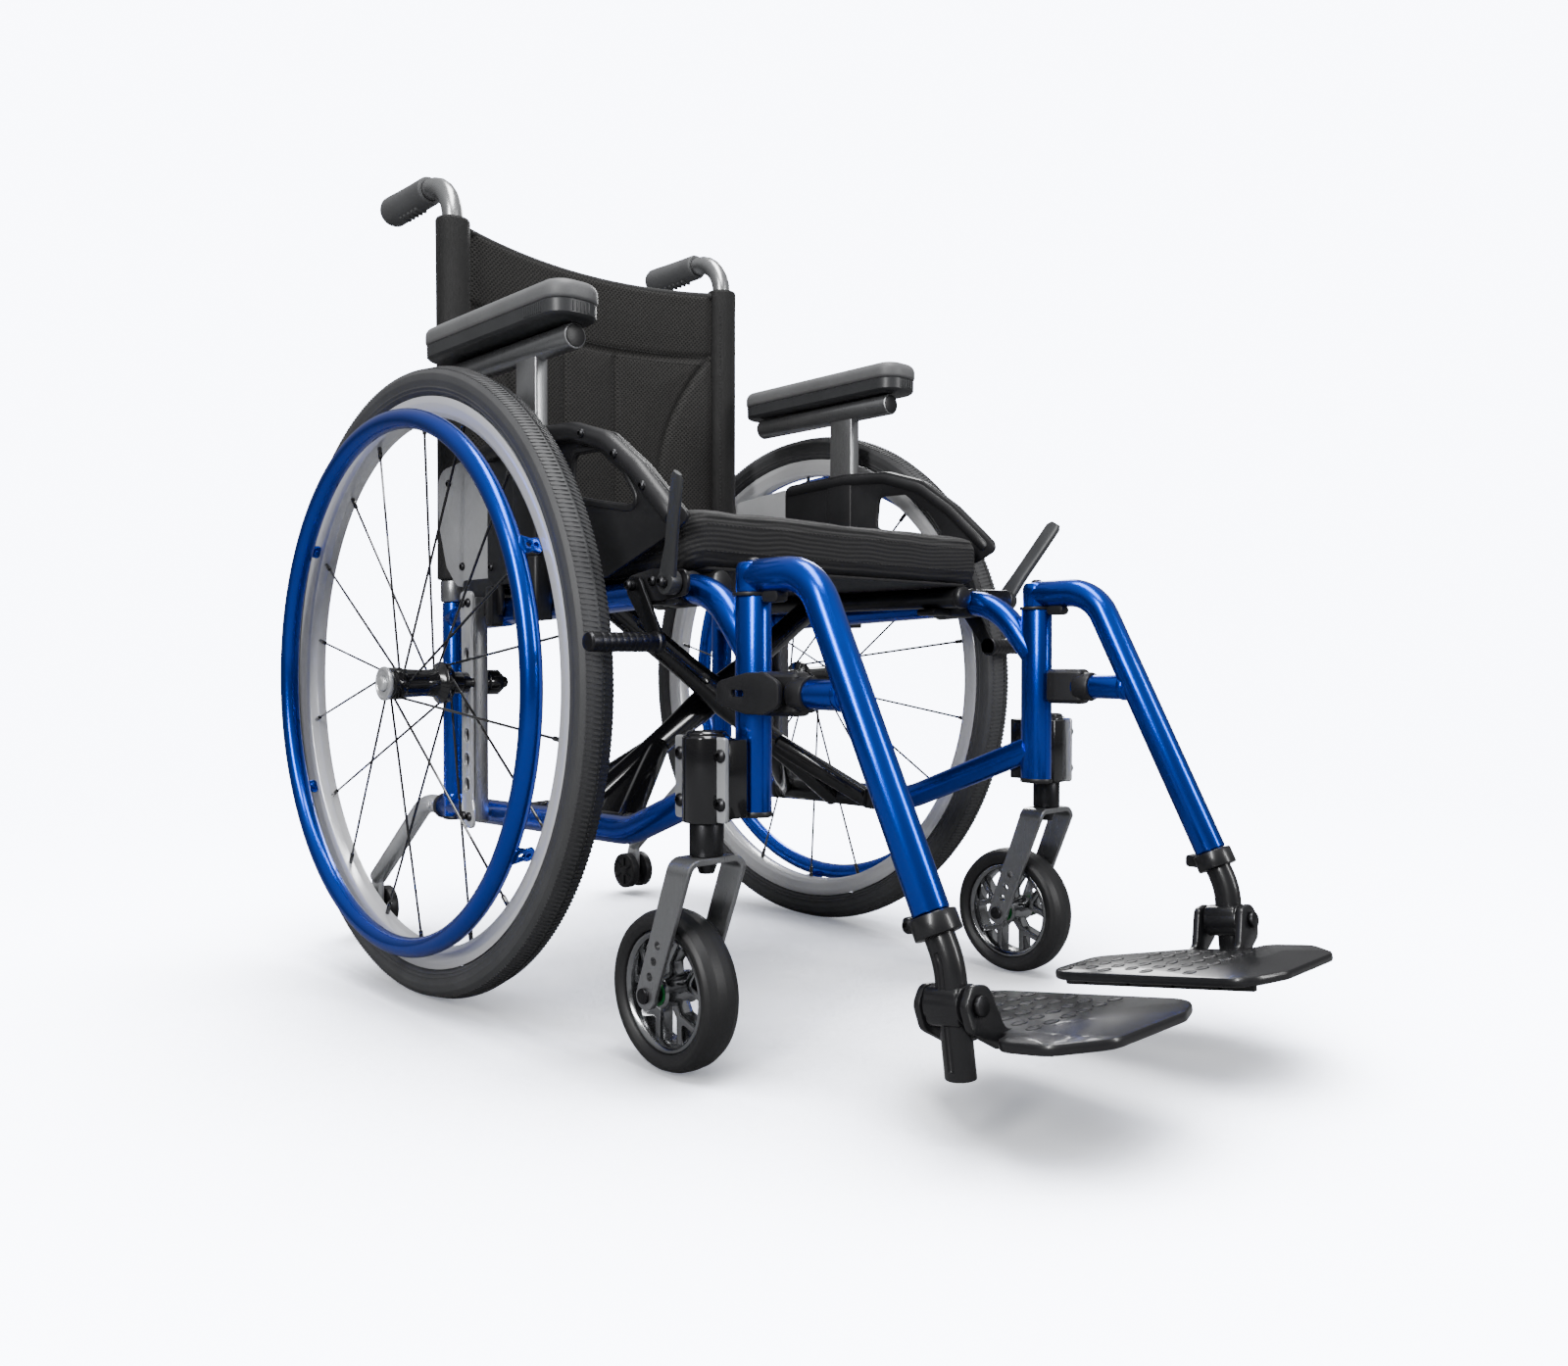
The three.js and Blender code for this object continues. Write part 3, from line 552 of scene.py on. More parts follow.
MESH = mesh_cloth("back mesh", (0.0008, 0.0008, 0.0008), (0.017, 0.0155, 0.014), 0.0052, 6e-4)
SLEEVE_CLOTH = stretch_cloth("sleeve cloth", (0.002, 0.002, 0.002), (0.009, 0.009, 0.0095), 0.0013, 1.2e-4)
COVER = stretch_cloth("cushion cover", (0.005, 0.005, 0.005), (0.017, 0.017, 0.018), 0.0013, 1.2e-4, 0.0042)
BINDING = stretch_cloth("woven binding", (0.006, 0.006, 0.006), (0.020, 0.020, 0.021), 0.0009, 1e-4)
THREAD = stretch_cloth("stitching thread", (0.012, 0.012, 0.012), (0.04, 0.04, 0.042), 0.0006, 5e-5)

# %% [markdown]
# ## Copies
# Spokes, tread ribs, screws, ovals and stitches are one small shape repeated. Two Geometry Nodes
# trees cover all of them: copies turned round an axle, and copies on given points. Each ends in
# Realize Instances and Set Material, and its result is kept as a plain mesh.

# %% Geometry Nodes trees


class Spread(Graph):
    """A Geometry Nodes tree with named inputs, that puts copies of a part somewhere."""

    def __init__(self, name, inputs):
        super().__init__(bpy.data.node_groups.new(name, "GeometryNodeTree"))
        sides = self.tree.interface
        sides.new_socket("Geometry", in_out="INPUT", socket_type="NodeSocketGeometry")
        for key, kind in {"Part": "Object", "Material": "Material", **inputs}.items():
            sides.new_socket(key, in_out="INPUT", socket_type=f"NodeSocket{kind}")
        sides.new_socket("Geometry", in_out="OUTPUT", socket_type="NodeSocketGeometry")
        entry = self.tree.nodes.new("NodeGroupInput")
        self.given = {output.name: Wire(self, output) for output in entry.outputs if output.name}
        self.part = self.add("GeometryNodeObjectInfo", None, {"Object": self.given["Part"]}, out="Geometry")

    def finish(self, points, rotation, scale=None, shift=None):
        copies = self.add("GeometryNodeInstanceOnPoints", None,
                          {"Points": points, "Instance": self.part, "Rotation": rotation, "Scale": scale})
        real = self.add("GeometryNodeRealizeInstances", None, {"Geometry": copies})
        if shift is not None:
            real = self.add("GeometryNodeTransform", None, {"Geometry": real, "Translation": shift})
        dressed = self.add("GeometryNodeSetMaterial", None,
                           {"Geometry": real, "Material": self.given["Material"]})
        self.add("NodeGroupOutput", None, {"Geometry": dressed})

    def grow(self, part, material, base=None, **values):
        """Run the tree on a base object and return the result as a plain mesh."""
        template = bpy.data.objects.new("template", part)
        host = bpy.data.objects.new("host", base if base is not None else bpy.data.meshes.new("host"))
        for thing in (template, host):
            bpy.context.scene.collection.objects.link(thing)
        modifier = host.modifiers.new("copies", "NODES")
        modifier.node_group = self.tree
        sockets = self.tree.interface.items_tree
        names = {item.name: item.identifier for item in sockets if item.in_out == "INPUT"}
        for key, value in {"Part": template, "Material": material, **values}.items():
            modifier[names[key.replace("_", " ")]] = value
        bpy.context.view_layer.update()
        seen = host.evaluated_get(bpy.context.evaluated_depsgraph_get())
        result = bpy.data.meshes.new_from_object(seen)
        for thing in (template, host):
            bpy.data.objects.remove(thing)
        return result


ROUND_AXLE = Spread("copies turned round an axle", {"Count": "Int", "Centre": "Vector"})
_points = ROUND_AXLE.add("GeometryNodePoints", None, {"Count": ROUND_AXLE.given["Count"]})
_turn = ROUND_AXLE.add("GeometryNodeInputIndex").maths("DIVIDE", ROUND_AXLE.given["Count"]) * (2 * math.pi)
_angles = ROUND_AXLE.add("ShaderNodeCombineXYZ", None, {"X": _turn})
ROUND_AXLE.finish(_points, _angles, shift=ROUND_AXLE.given["Centre"])

ON_POINTS = Spread("copies on points", {"Turn": "Vector"})
ON_POINTS.finish(ON_POINTS.given["Geometry"], ON_POINTS.given["Turn"])


def raw(shapes):
    """A template mesh in metres about its own origin."""
    mesh = mesh_of(shapes, "template")
    mesh.transform(Matrix.Translation((0, -AXLE_Y * MM, 0)))
    return mesh


def round_axle(shapes, count, centre, material):
    return ROUND_AXLE.grow(raw(shapes), material, Count=count, Centre=in_frame(centre))


def on_points(shapes, points, material, turn=(0, 0, 0)):
    base = bpy.data.meshes.new("points")
    base.from_pydata([in_frame(p) for p in points], [], [])
    return ON_POINTS.grow(raw(shapes), material, base, Turn=turn)


# %% [markdown]
# ## Screws
# Button-head screws with a small recess hold the brackets. One turned head is copied to each
# place on a plate, facing outward.

# %% Screw heads


def screw_head(radius=5.0, height=3.2):
    """A button head that faces +X from its seat at the origin."""
    return [turned([(0, 0), (radius, 0), (radius, height * 0.4), (radius * 0.8, height * 0.8),
                    (radius * 0.5, height), (radius * 0.5, height * 0.45), (0, height * 0.4)], sides=18)]


FACES = {"+x": (0, 0, 0), "-x": (0, 0, math.pi), "-y": (0, 0, -math.pi / 2), "+y": (0, 0, math.pi / 2),
         "+z": (0, -math.pi / 2, 0)}


def screws(name, points, body, facing="+x", radius=5.0, finish=None):
    material = finish or STEEL
    return pair(name, on_points(screw_head(radius), points, material, FACES[facing]), body, material)


# %% [markdown]
# ## Rear wheels
# The tyre is a turned casing with raised ribs set in two slanting rows, the rim a hollow alloy hoop,
# and the spokes cross from two hub flanges. Turning and circular copies give the exact symmetry that
# a spinning wheel needs.

# %% Tyre and tread
WHEEL = (WHEEL_X, 0, AXLE_Z)
RIM_R = TYRE_R - 30
CROWN = TYRE_R - 1.3


def half_tyre():
    return [(RIM_R + 1, 10), (RIM_R + 4.5, 15.0), (RIM_R + 5.8, 14.4), (RIM_R + 8, 16.1),
            (RIM_R + 9.2, 15.5),
            (RIM_R + 15, 17), (CROWN - 7.5, 16.4), (CROWN - 3.4, 13.2), (CROWN - 1.0, 8), (CROWN, 2)]


tyre_profile = [(r, -x) for r, x in half_tyre()] + [(r, x) for r, x in reversed(half_tyre())]
tyre = mesh_of([turned(tyre_profile, WHEEL, sides=180, soft=0.9, ring=True)])
pair("rear_tyre", tyre, "wheel_*", TYRE, ["rear_tyre_*"])


def tread_rib(side):
    """A slanting bar on one shoulder of the crown."""
    bar = []
    for depth in (-1.5, 1.4):
        for x, along in ((1.4, -1.5), (13.2, 0.9), (13.2, 3.0), (1.4, 0.6)):
            fall = 0.022 * x * x
            bar.append(Vector((side * x, along * side, CROWN + depth - fall)))
    return bar, [(0, 3, 2, 1), (4, 5, 6, 7), (0, 1, 5, 4), (1, 2, 6, 5), (2, 3, 7, 6), (3, 0, 4, 7)]


tread = round_axle([tread_rib(1), tread_rib(-1)], 420, WHEEL, TYRE)
pair("tyre_tread", tread, "wheel_*", TYRE, crease=20)
print("tread faces", len(tread.polygons))

# %% Rim, hub and spokes
rim_profile = [(RIM_R, -9), (RIM_R + 1.5, -12.6), (RIM_R - 6, -12.6), (RIM_R - 14, -11.2),
               (RIM_R - 18.5, -8.5),
               (RIM_R - 19.3, 0), (RIM_R - 18.5, 8.5), (RIM_R - 14, 11.2), (RIM_R - 6, 12.6),
               (RIM_R + 1.5, 12.6), (RIM_R, 9)]
rim = mesh_of([turned(rim_profile, WHEEL, sides=180, soft=1.6, ring=True)])
pair("wheel_rim", rim, "wheel_*", RIM, ["wheel_rim_*"])

hub_profile = [(0, -91), (5.2, -91), (6, -89.5), (6, -39.2), (11, -39.2), (11, -25), (20.5, -24), (21, -17),
               (18, -15),
               (14.2, -11), (13.2, 0), (14.2, 22), (15.6, 25), (15.6, 38), (7.5, 38), (7.5, 33.6),
               (0, 33.6)]
hub = mesh_of([turned(hub_profile, WHEEL, sides=56, soft=1.0)])
pair("wheel_hub", hub, "wheel_*", GLOSS, ["wheel_hub_*"])
cap = mesh_of([turned([(7.6, 38.2), (15.8, 38.2), (16.6, 40), (16.2, 42.2), (13.6, 43), (12.6, 41.6),
                       (7.6, 41.2)],
                      WHEEL, sides=56, soft=0.5, ring=True)])
pair("hub_cap", cap, "wheel_*", SILVER)
button = mesh_of([turned([(0, 38.5), (6.9, 38.5), (6.9, 44), (5.2, 45.3), (0, 45.3)], WHEEL, sides=36,
                         soft=0.8)])
pair("release_button", button, "release_button_*", BRIGHT, ["release_button_*"])


def spoke(x, radius, lean):
    start = (x, radius * math.sin(lean), radius * math.cos(lean))
    end = (x * 0.1, 0, RIM_R - 18)
    low = [a + (b - a) * 0.945 for a, b in zip(start, end)]
    return [tube([start, end], 1.25, sides=8, soft=0.2), tube([low, end], 2.2, sides=8, soft=0.5)]


half_turn = Matrix.Rotation(math.pi / 9, 4, "X")
spokes = spoke(-19, 19, 0.95) + [moved(part, half_turn) for part in spoke(29, 14.5, -0.95)]
pair("spokes", round_axle(spokes, 9, WHEEL, GLOSS), "wheel_*", GLOSS)

# %% Handrim and its tabs
HANDRIM_R = size("handrim_left")[2] / 2 - 9.5
HANDRIM_OUT = 33.2
hoop = [(HANDRIM_R + 9.5 * math.cos(a),
         HANDRIM_OUT + 9.5 * math.sin(a)) for a in (math.pi * k / 12 for k in range(24))]
pair("handrim", mesh_of([turned(hoop, WHEEL, sides=180, ring=True)]), "wheel_*", BLUE,
     ["handrim_*"])

tab_outline = soften([(11.9, -8), (20, -6), (30, -9), (33, 0), (30, 9), (20, 6), (11.9, 8)], 3)
tab_holes = [hole_at(16.5, 0, 2.2, 12), hole_at(23.2, 0, 2.6, 12)]
tab = [plate(tab_outline, (RIM_R - 17, RIM_R - 13.6), "z", 0.6, tab_holes),
       disc((16.5, 0, RIM_R - 17.6), 3.1, 3, "z", 0.6, 14)]
half_sixth = Matrix.Rotation(math.radians(3), 4, "X")
tabs = round_axle([moved(part, half_sixth) for part in tab], 6, WHEEL, BLUE)
pair("handrim_tabs", tabs, "wheel_*", BLUE)

# %% [markdown]
# ## Side frames
# One-inch tube, bent and welded, under blue lacquer. Each tube is swept along the same route as its
# CAD solid; short collars and fillets stand where tubes are welded together.

# %% Side frame tubes
LOWER_Z, UPPER_Z = AXLE_Z - 136, AXLE_Z + 70
POST_X, POST_Y = FRAME_X + 2, -(TYRE_R + 95)
BEND_Y, KNEE_Y = POST_Y + 50, POST_Y + 165
TUBE_R = 12.7


def weld_bead(centre, direction, radius):
    """A slight swelling where one tube is welded to another."""
    start = Vector(centre)
    along = Vector(direction).normalized()
    return tube([start - along * 3, start + along * 3], radius + 1.0, sides=40, soft=1.6)


frame_tubes = [
    tube([(FRAME_X, CANE_Y, UPPER_Z - 3), (FRAME_X, BEND_Y, UPPER_Z + 13),
          (FRAME_X + 1, POST_Y + 3, UPPER_Z - 42)],
         TUBE_R, 75, 48),
    tube([(FRAME_X, CANE_Y + 23, LOWER_Z), (FRAME_X, KNEE_Y, LOWER_Z + 7),
          (FRAME_X + 1, POST_Y + 6, LOWER_Z + 70)],
         TUBE_R, 90, 48),
    tube([(POST_X, POST_Y, LOWER_Z + 38), (POST_X, POST_Y, UPPER_Z + 3.5)], 16, 0, 48, wide=0.82, soft=1.5),
    tube([(FRAME_X, CANE_Y, LOWER_Z - 9), (FRAME_X, CANE_Y, UPPER_Z + 14)], TUBE_R, 0, 48),
    weld_bead((FRAME_X, CANE_Y, LOWER_Z + 13), (0, 0, 1), TUBE_R),
    weld_bead((FRAME_X, CANE_Y - 14, UPPER_Z - 2.5), (0, 1, 0), TUBE_R),
    tube([(FRAME_X, 40, UPPER_Z - 1.5), (FRAME_X, -30, UPPER_Z + 1)], TUBE_R + 1.6, 0, 48, soft=1.5),
]
pair("side_frame", mesh_of(frame_tubes), "*_frame", BLUE, ["side_frame_*"])

FOOT_X, FOOT_Z, RAIL_Z = FRAME_X - 25, LOWER_Z + 6, UPPER_Z + 17
lugs = []
for end in (-53.5, -206.5):
    lug = soften([(FOOT_X - 10, FOOT_Z - 11), (FRAME_X - 4, FOOT_Z - 14), (FRAME_X - 4, FOOT_Z + 10),
                  (FOOT_X - 10, FOOT_Z + 11)], 6)
    lugs += [plate(lug, (end - 3, end + 3), "y", 1.0),
             disc((FOOT_X, end + math.copysign(4.5, end + 130), FOOT_Z), 6.5, 4, "y")]
saddle = [block((FOOT_X - 13, FRAME_X - 5), (POST_Y + 99, POST_Y + 123), (UPPER_Z - 1, RAIL_Z - 10.9), 4,
                1.5, "y"),
          tube([(FRAME_X, POST_Y + 98, UPPER_Z + 11), (FRAME_X, POST_Y + 124, UPPER_Z + 10)], TUBE_R + 2.2,
               0, 40, soft=1.2)]
caps = [tube([(FRAME_X, CANE_Y + 20, LOWER_Z), (FRAME_X, CANE_Y + 27, LOWER_Z)], TUBE_R + 1.2, 0, 40,
             soft=2),
        tube([(POST_X, POST_Y, LOWER_Z + 36), (POST_X, POST_Y, LOWER_Z + 41)], 16.6, 0, 40, wide=0.83,
             soft=1.5),
        tube([(FRAME_X, CANE_Y, LOWER_Z - 12), (FRAME_X, CANE_Y, LOWER_Z - 8)], TUBE_R + 0.8, 0, 40,
             soft=1.5)]
pair("frame_fittings", mesh_of(lugs + saddle + caps), "*_frame", PLASTIC)

# %% Axle plate: a bright strap over a dark channel
OUT = FRAME_X + TUBE_R + 0.3
strap = soften([(-12, UPPER_Z + 22), (12, UPPER_Z + 22), (12, UPPER_Z - 4), (9.5, UPPER_Z - 12),
                (9.5, LOWER_Z + 18),
                (12, LOWER_Z + 8), (12, LOWER_Z - 11), (-12, LOWER_Z - 11), (-12, LOWER_Z + 8),
                (-9.5, LOWER_Z + 18),
                (-9.5, UPPER_Z - 12), (-12, UPPER_Z - 4)], 6)
plate_holes = [hole_at(0, AXLE_Z + rise, 5.6, 24, 1.25) for rise in (28, -25, -53, -78, -103)]
pair("axle_strap", mesh_of([plate(strap, (OUT + 15, OUT + 19), "x", 0.9, plate_holes)]), "*_frame", BRIGHT,
     ["axle_plate_*"])
channel = [block((OUT + 1, OUT + 14.9), (side * 10.8 - 1.6, side * 10.8 + 1.6), (LOWER_Z - 5, UPPER_Z + 16),
                 3, 0.5, "y")
           for side in (-1, 1)]
channel.append(block((OUT + 10.5, OUT + 13), (-10, 10), (LOWER_Z + 20, UPPER_Z - 14), 2, 0.5))
pair("axle_channel", mesh_of(channel), "*_frame", GUNMETAL)
receiver = [turned([(6.5, -15), (9, -15), (12.5, -14), (12.5, -3), (10.5, -2), (10.5, 24.8), (13, 24.8),
                    (13, 14), (15, 13),
                    (15, 20), (6.5, 24.8)][:6] + [(10.5, 24.8), (6.5, 24.8)], (OUT, 0, AXLE_Z), sides=44,
                    soft=0.5, ring=True),
            turned([(6.6, -14.9), (12.8, -14.9), (12.8, -3), (6.6, -3)], (OUT - 3, 0, AXLE_Z), sides=6,
                   soft=0.6, ring=True)]
pair("axle_receiver", mesh_of(receiver), "*_frame", GLOSS)
strap_screws = [(OUT + 19, y, z) for z in (UPPER_Z + 10, LOWER_Z + 1) for y in (-5.6, 5.6)]
screws("strap_screws", strap_screws, "*_frame", radius=4.6)

# %% [markdown]
# ## Back canes, push grips and sleeves
# The canes are bare alloy where they bend back into the handles. The grips are rubber with finger
# ribs underneath, pushed over them, and the upholstery's sleeves hide the straight part.

# %% Canes and grips
GRIP_Z = middle("push_grip_left")[2]
GRIP_Y = [edge / MM - AXLE_Y for edge in (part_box("push_grip_left")[0][1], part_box("push_grip_left")[1][1])]
SLEEVE = [edge[2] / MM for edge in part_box("back_sleeve_left")]
cane_route = [(FRAME_X, CANE_Y, UPPER_Z + 29.5), (FRAME_X, CANE_Y, GRIP_Z),
              (FRAME_X, GRIP_Y[1] - 9, GRIP_Z)]
cane_foot = tube([(FRAME_X, CANE_Y, UPPER_Z + 14.4), (FRAME_X, CANE_Y, UPPER_Z + 38)], 14.6, 0, 40, soft=2)
pair("back_cane", mesh_of([tube(cane_route, 11, 46, 48)]), "*_frame", CANE, ["back_cane_*"])
pair("cane_foot", mesh_of([cane_foot]), "*_frame", GUNMETAL)

grip_profile = [(11.4, GRIP_Y[0]), (14.4, GRIP_Y[0]), (15.2, GRIP_Y[0] + 2), (15.3, GRIP_Y[0] + 8)]
grip_profile += [(15.4, GRIP_Y[0] + 30), (16.0, GRIP_Y[0] + 60), (16.6, GRIP_Y[1] - 18),
                 (16.7, GRIP_Y[1] - 6), (14.5, GRIP_Y[1]), (0, GRIP_Y[1]), (0, GRIP_Y[1] - 7),
                 (11.4, GRIP_Y[1] - 7)]
grip = [turned(grip_profile[:-3] + [(0, GRIP_Y[1])], (FRAME_X, 0, GRIP_Z), "y", 48, 1.0)]
pair("push_grip", mesh_of(grip), "*_frame", GRIP, ["push_grip_*"])
finger_rib = [disc((0, 0, 0), 2.1, 14, "x", 1.6, 10)]
rib_places = [(FRAME_X, GRIP_Y[0] + 24 + 9 * k, GRIP_Z - 15.2) for k in range(5)]
pair("grip_ribs", on_points(finger_rib, rib_places, GRIP), "*_frame", GRIP)

# %% Rounded pads and drilled holes


def pillow(outline, levels):
    """A lofted pad: each level is (height, how far the outline draws in)."""
    verts, faces = [], []
    count = len(outline)
    for height, inset in levels:
        verts += [Vector((p.x, p.y, height)) for p in grown(outline, -inset)]
    for row in range(len(levels) - 1):
        for k in range(count):
            a, b = row * count + k, row * count + (k + 1) % count
            faces.append((a, b, b + count, a + count))
    for row, order in ((0, -1), (len(levels) - 1, 1)):
        middle_point = sum((verts[row * count + k] for k in range(count)), Vector()) / count
        verts.append(middle_point)
        centre = len(verts) - 1
        for k in range(count):
            faces.append(tuple([centre, row * count + k, row * count + (k + 1) % count][::order]))
    return verts, faces


def drilled(mesh, cutters):
    """The mesh with the cutters' shape taken out of it."""
    solid, tool = (bpy.data.objects.new("drilled", m) for m in (mesh, mesh_of(cutters, "drill")))
    for thing in (solid, tool):
        bpy.context.scene.collection.objects.link(thing)
    modifier = solid.modifiers.new("holes", "BOOLEAN")
    modifier.operation, modifier.solver, modifier.object = "DIFFERENCE", "EXACT", tool
    seen = solid.evaluated_get(bpy.context.evaluated_depsgraph_get())
    result = bpy.data.meshes.new_from_object(seen)
    for thing in (solid, tool):
        bpy.data.objects.remove(thing)
    return result


# %% [markdown]
# ## Upholstery
# The back is spacer mesh between two stretch-cloth sleeves. Its pattern of seams is pressed into the
# panel's surface: one across the shoulders, two upright ones and two that sweep out to the sides.

# %% Back panel
BACK_HALF = FRAME_X - 18.8
BACK_LOW, BACK_HIGH = [edge[2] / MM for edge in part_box("back_panel")]
SHOULDER = BACK_HIGH - 84


def seam_distance(x, z):
    """How far a point on the back is from the nearest seam."""
    across = abs(z - SHOULDER - 4 * (x / BACK_HALF) ** 2)
    if z > SHOULDER:
        return across
    upright = abs(abs(x) - 36)
    drop = (SHOULDER - z) / 170
    sweep = 96 + 66 * max(0.0, 1 - drop) ** 2.2
    return min(across, upright, abs(abs(x) - sweep))


def back_point(x, z, face):
    share = x / BACK_HALF
    sag = 22 * (1 - share * share)
    away = seam_distance(x, z)
    groove = math.exp(-(away / 4.6) ** 2)
    puff = 2.2 * (1 - math.exp(-(away / 26) ** 2)) if face < 0 else 0
    rim = min(1.0, (BACK_HALF - abs(x)) / 10, (z - BACK_LOW) / 8 + 0.35, (BACK_HIGH - z) / 8 + 0.35)
    depth = (3.9 + puff) * math.sqrt(max(rim, 0.12)) - 2.9 * groove
    ripple = 0.5 * math.sin(x * 0.045 + z * 0.011) * math.sin(z * 0.028)
    dip = (z - BACK_LOW) / (BACK_HIGH - BACK_LOW) * 9 * (1 - share * share)
    return (x, CANE_Y + sag + face * depth + ripple, z - dip)


def grid(width, height, point):
    verts = [point(i / width, j / height) for j in range(height + 1) for i in range(width + 1)]
    faces = [(j * (width + 1) + i, j * (width + 1) + i + 1, (j + 1) * (width + 1) + i + 1,
              (j + 1) * (width + 1) + i)
             for j in range(height) for i in range(width)]
    return verts, faces


PANEL_CELLS = 150


def back_sheet(face):
    return grid(PANEL_CELLS, PANEL_CELLS, lambda u,
                v: back_point((2 * u - 1) * BACK_HALF, BACK_LOW + v * (BACK_HIGH - BACK_LOW), face))


front, rear = back_sheet(-1), back_sheet(1)
count = len(front[0])
last, row = PANEL_CELLS, PANEL_CELLS + 1
border = [i for i in range(row)] + [j * row + last for j in range(1, row)]
border += [last * row + i for i in range(last - 1, -1, -1)] + [j * row for j in range(last - 1, 0, -1)]
walls = [(a, b, b + count, a + count) for a, b in zip(border, border[1:] + border[:1])]
rear_faces = [tuple(i + count for i in face[::-1]) for face in rear[1]]
panel_mesh = mesh_of([(front[0] + rear[0], front[1] + rear_faces + walls)])
back = piece("back_panel", panel_mesh, "right_frame", MESH, ["back_panel"], 60)


edge = [-BACK_HALF + 2 * BACK_HALF * k / 60 for k in range(61)]
bindings = [tube([Vector(back_point(x, z, 0)) for x in edge], 5.0, 0, 20, wide=1.0) for z in (BACK_HIGH - 2,
                                                                                              BACK_LOW + 2.5)]
trim = piece("back_binding", mesh_of(bindings), "right_frame", BINDING)
stitch = [tube([(-1.5, 0, 0), (0, -0.35, 0), (1.5, 0, 0)], 0.5, 0, 6, soft=0.2)]
upright_stitch = [tube([(0, 0, -1.5), (0, -0.35, 0), (0, 0, 1.5)], 0.5, 0, 6, soft=0.2)]
rows = [on_points(stitch, [back_point(x, SHOULDER + side * 5, -1) for x in range(-160, 161, 5)],
                  THREAD) for side in (-1, 1)]
for x in (-41, -31, 31, 41):
    heights = [BACK_LOW + 12 + 5 * k for k in range(int((SHOULDER - BACK_LOW - 22) / 5))]
    rows.append(on_points(upright_stitch, [back_point(x, z, -1) for z in heights], THREAD))
stitches = [piece(f"back_stitches_{i}", mesh, "right_frame", THREAD) for i,
            mesh in enumerate(rows)]

for soft_piece in [back, trim, *stitches]:
    -BACK_HALF * MM
    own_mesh(soft_piece)

# %% Sleeves over the canes
low, high = SLEEVE
sleeve_profile = [(11.9, low), (17.6, low), (18.0, low + 2), (17.7, low + 40), (17.4, low + 120),
                  (17.7, low + 240), (17.9, high - 30), (18.2, high - 3), (17.4, high), (11.9, high)]
sleeve = mesh_of([turned(sleeve_profile, (FRAME_X, CANE_Y, 0), "z", 44, 1.2, ring=True)])
pair("back_sleeve", sleeve, "*_frame", SLEEVE_CLOTH, ["back_sleeve_*"])
seam = [tube([(0, 0, -1.6), (-0.3, -0.3, 0), (0, 0, 1.6)], 0.55, 0, 6, soft=0.2)]
seam_places = [(FRAME_X - 12.7, CANE_Y - 12.7, low + 20 + 5 * k) for k in range(int((high - low - 40) / 5))]
pair("sleeve_stitches", on_points(seam, seam_places, THREAD), "*_frame", THREAD)

# %% [markdown]
# ## Cushion and sling
# The cushion starts as a rounded box and is blown up a little as cloth, so its faces crown and its
# edges pull in by themselves. The seams are pressed in afterwards, where the cover's panels meet.

# %% Cushion by cloth simulation
SEAT_LOW, SEAT_HIGH = [edge[2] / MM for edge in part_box("seat_cushion")]
SEAT_X = size("seat_cushion")[0] / 2
SEAT_Y = [edge[1] / MM - AXLE_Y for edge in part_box("seat_cushion")]


def inflated(mesh, frames, pressure, size_mm, most):
    """The mesh as cloth under pressure, remeshed evenly, moved by at most a few millimetres."""
    thing = bpy.data.objects.new("cloth", mesh)
    bpy.context.scene.collection.objects.link(thing)
    remesh = thing.modifiers.new("even", "REMESH")
    remesh.mode, remesh.voxel_size = "VOXEL", size_mm * MM
    even = bpy.data.meshes.new_from_object(thing.evaluated_get(bpy.context.evaluated_depsgraph_get()))
    thing.modifiers.remove(remesh)
    thing.data = even
    start = [v.co.copy() for v in even.vertices]
    cloth = thing.modifiers.new("cloth", "CLOTH")
    cloth.settings.use_pressure = True
    cloth.settings.uniform_pressure_force = pressure
    cloth.settings.effector_weights.gravity = 0
    cloth.settings.quality = 5
    cloth.point_cache.frame_start, cloth.point_cache.frame_end = 1, frames
    for step in range(1, frames + 1):
        bpy.context.scene.frame_set(step)
    blown = bpy.data.meshes.new_from_object(thing.evaluated_get(bpy.context.evaluated_depsgraph_get()))
    thing.modifiers.clear()
    bpy.context.scene.frame_set(1)
    for v, was in zip(blown.vertices, start):
        shift = v.co - was
        if shift.length > most * MM:
            v.co = was + shift.normalized() * most * MM
    thing.data = blown
    finer = thing.modifiers.new("finer", "SUBSURF")
    finer.levels = 1
    result = bpy.data.meshes.new_from_object(thing.evaluated_get(bpy.context.evaluated_depsgraph_get()))
    bpy.data.objects.remove(thing)
    return result


box_outline = soften([(-SEAT_X + 3, SEAT_Y[0] + 3), (SEAT_X - 3, SEAT_Y[0] + 3),
                      (SEAT_X - 3, SEAT_Y[1] - 3), (-SEAT_X + 3, SEAT_Y[1] - 3)], 20, 6)
levels = [(SEAT_LOW + 1, 7), (SEAT_LOW + 2.5, 3.5), (SEAT_LOW + 6, 1), (SEAT_LOW + 11, 0),
          (SEAT_HIGH - 12, 0), (SEAT_HIGH - 6, 1.2),
          (SEAT_HIGH - 3, 4), (SEAT_HIGH - 1.8, 9)]
cushion_mesh = inflated(mesh_of([pillow(box_outline, levels)]), 20, 4, 5, 3.5)


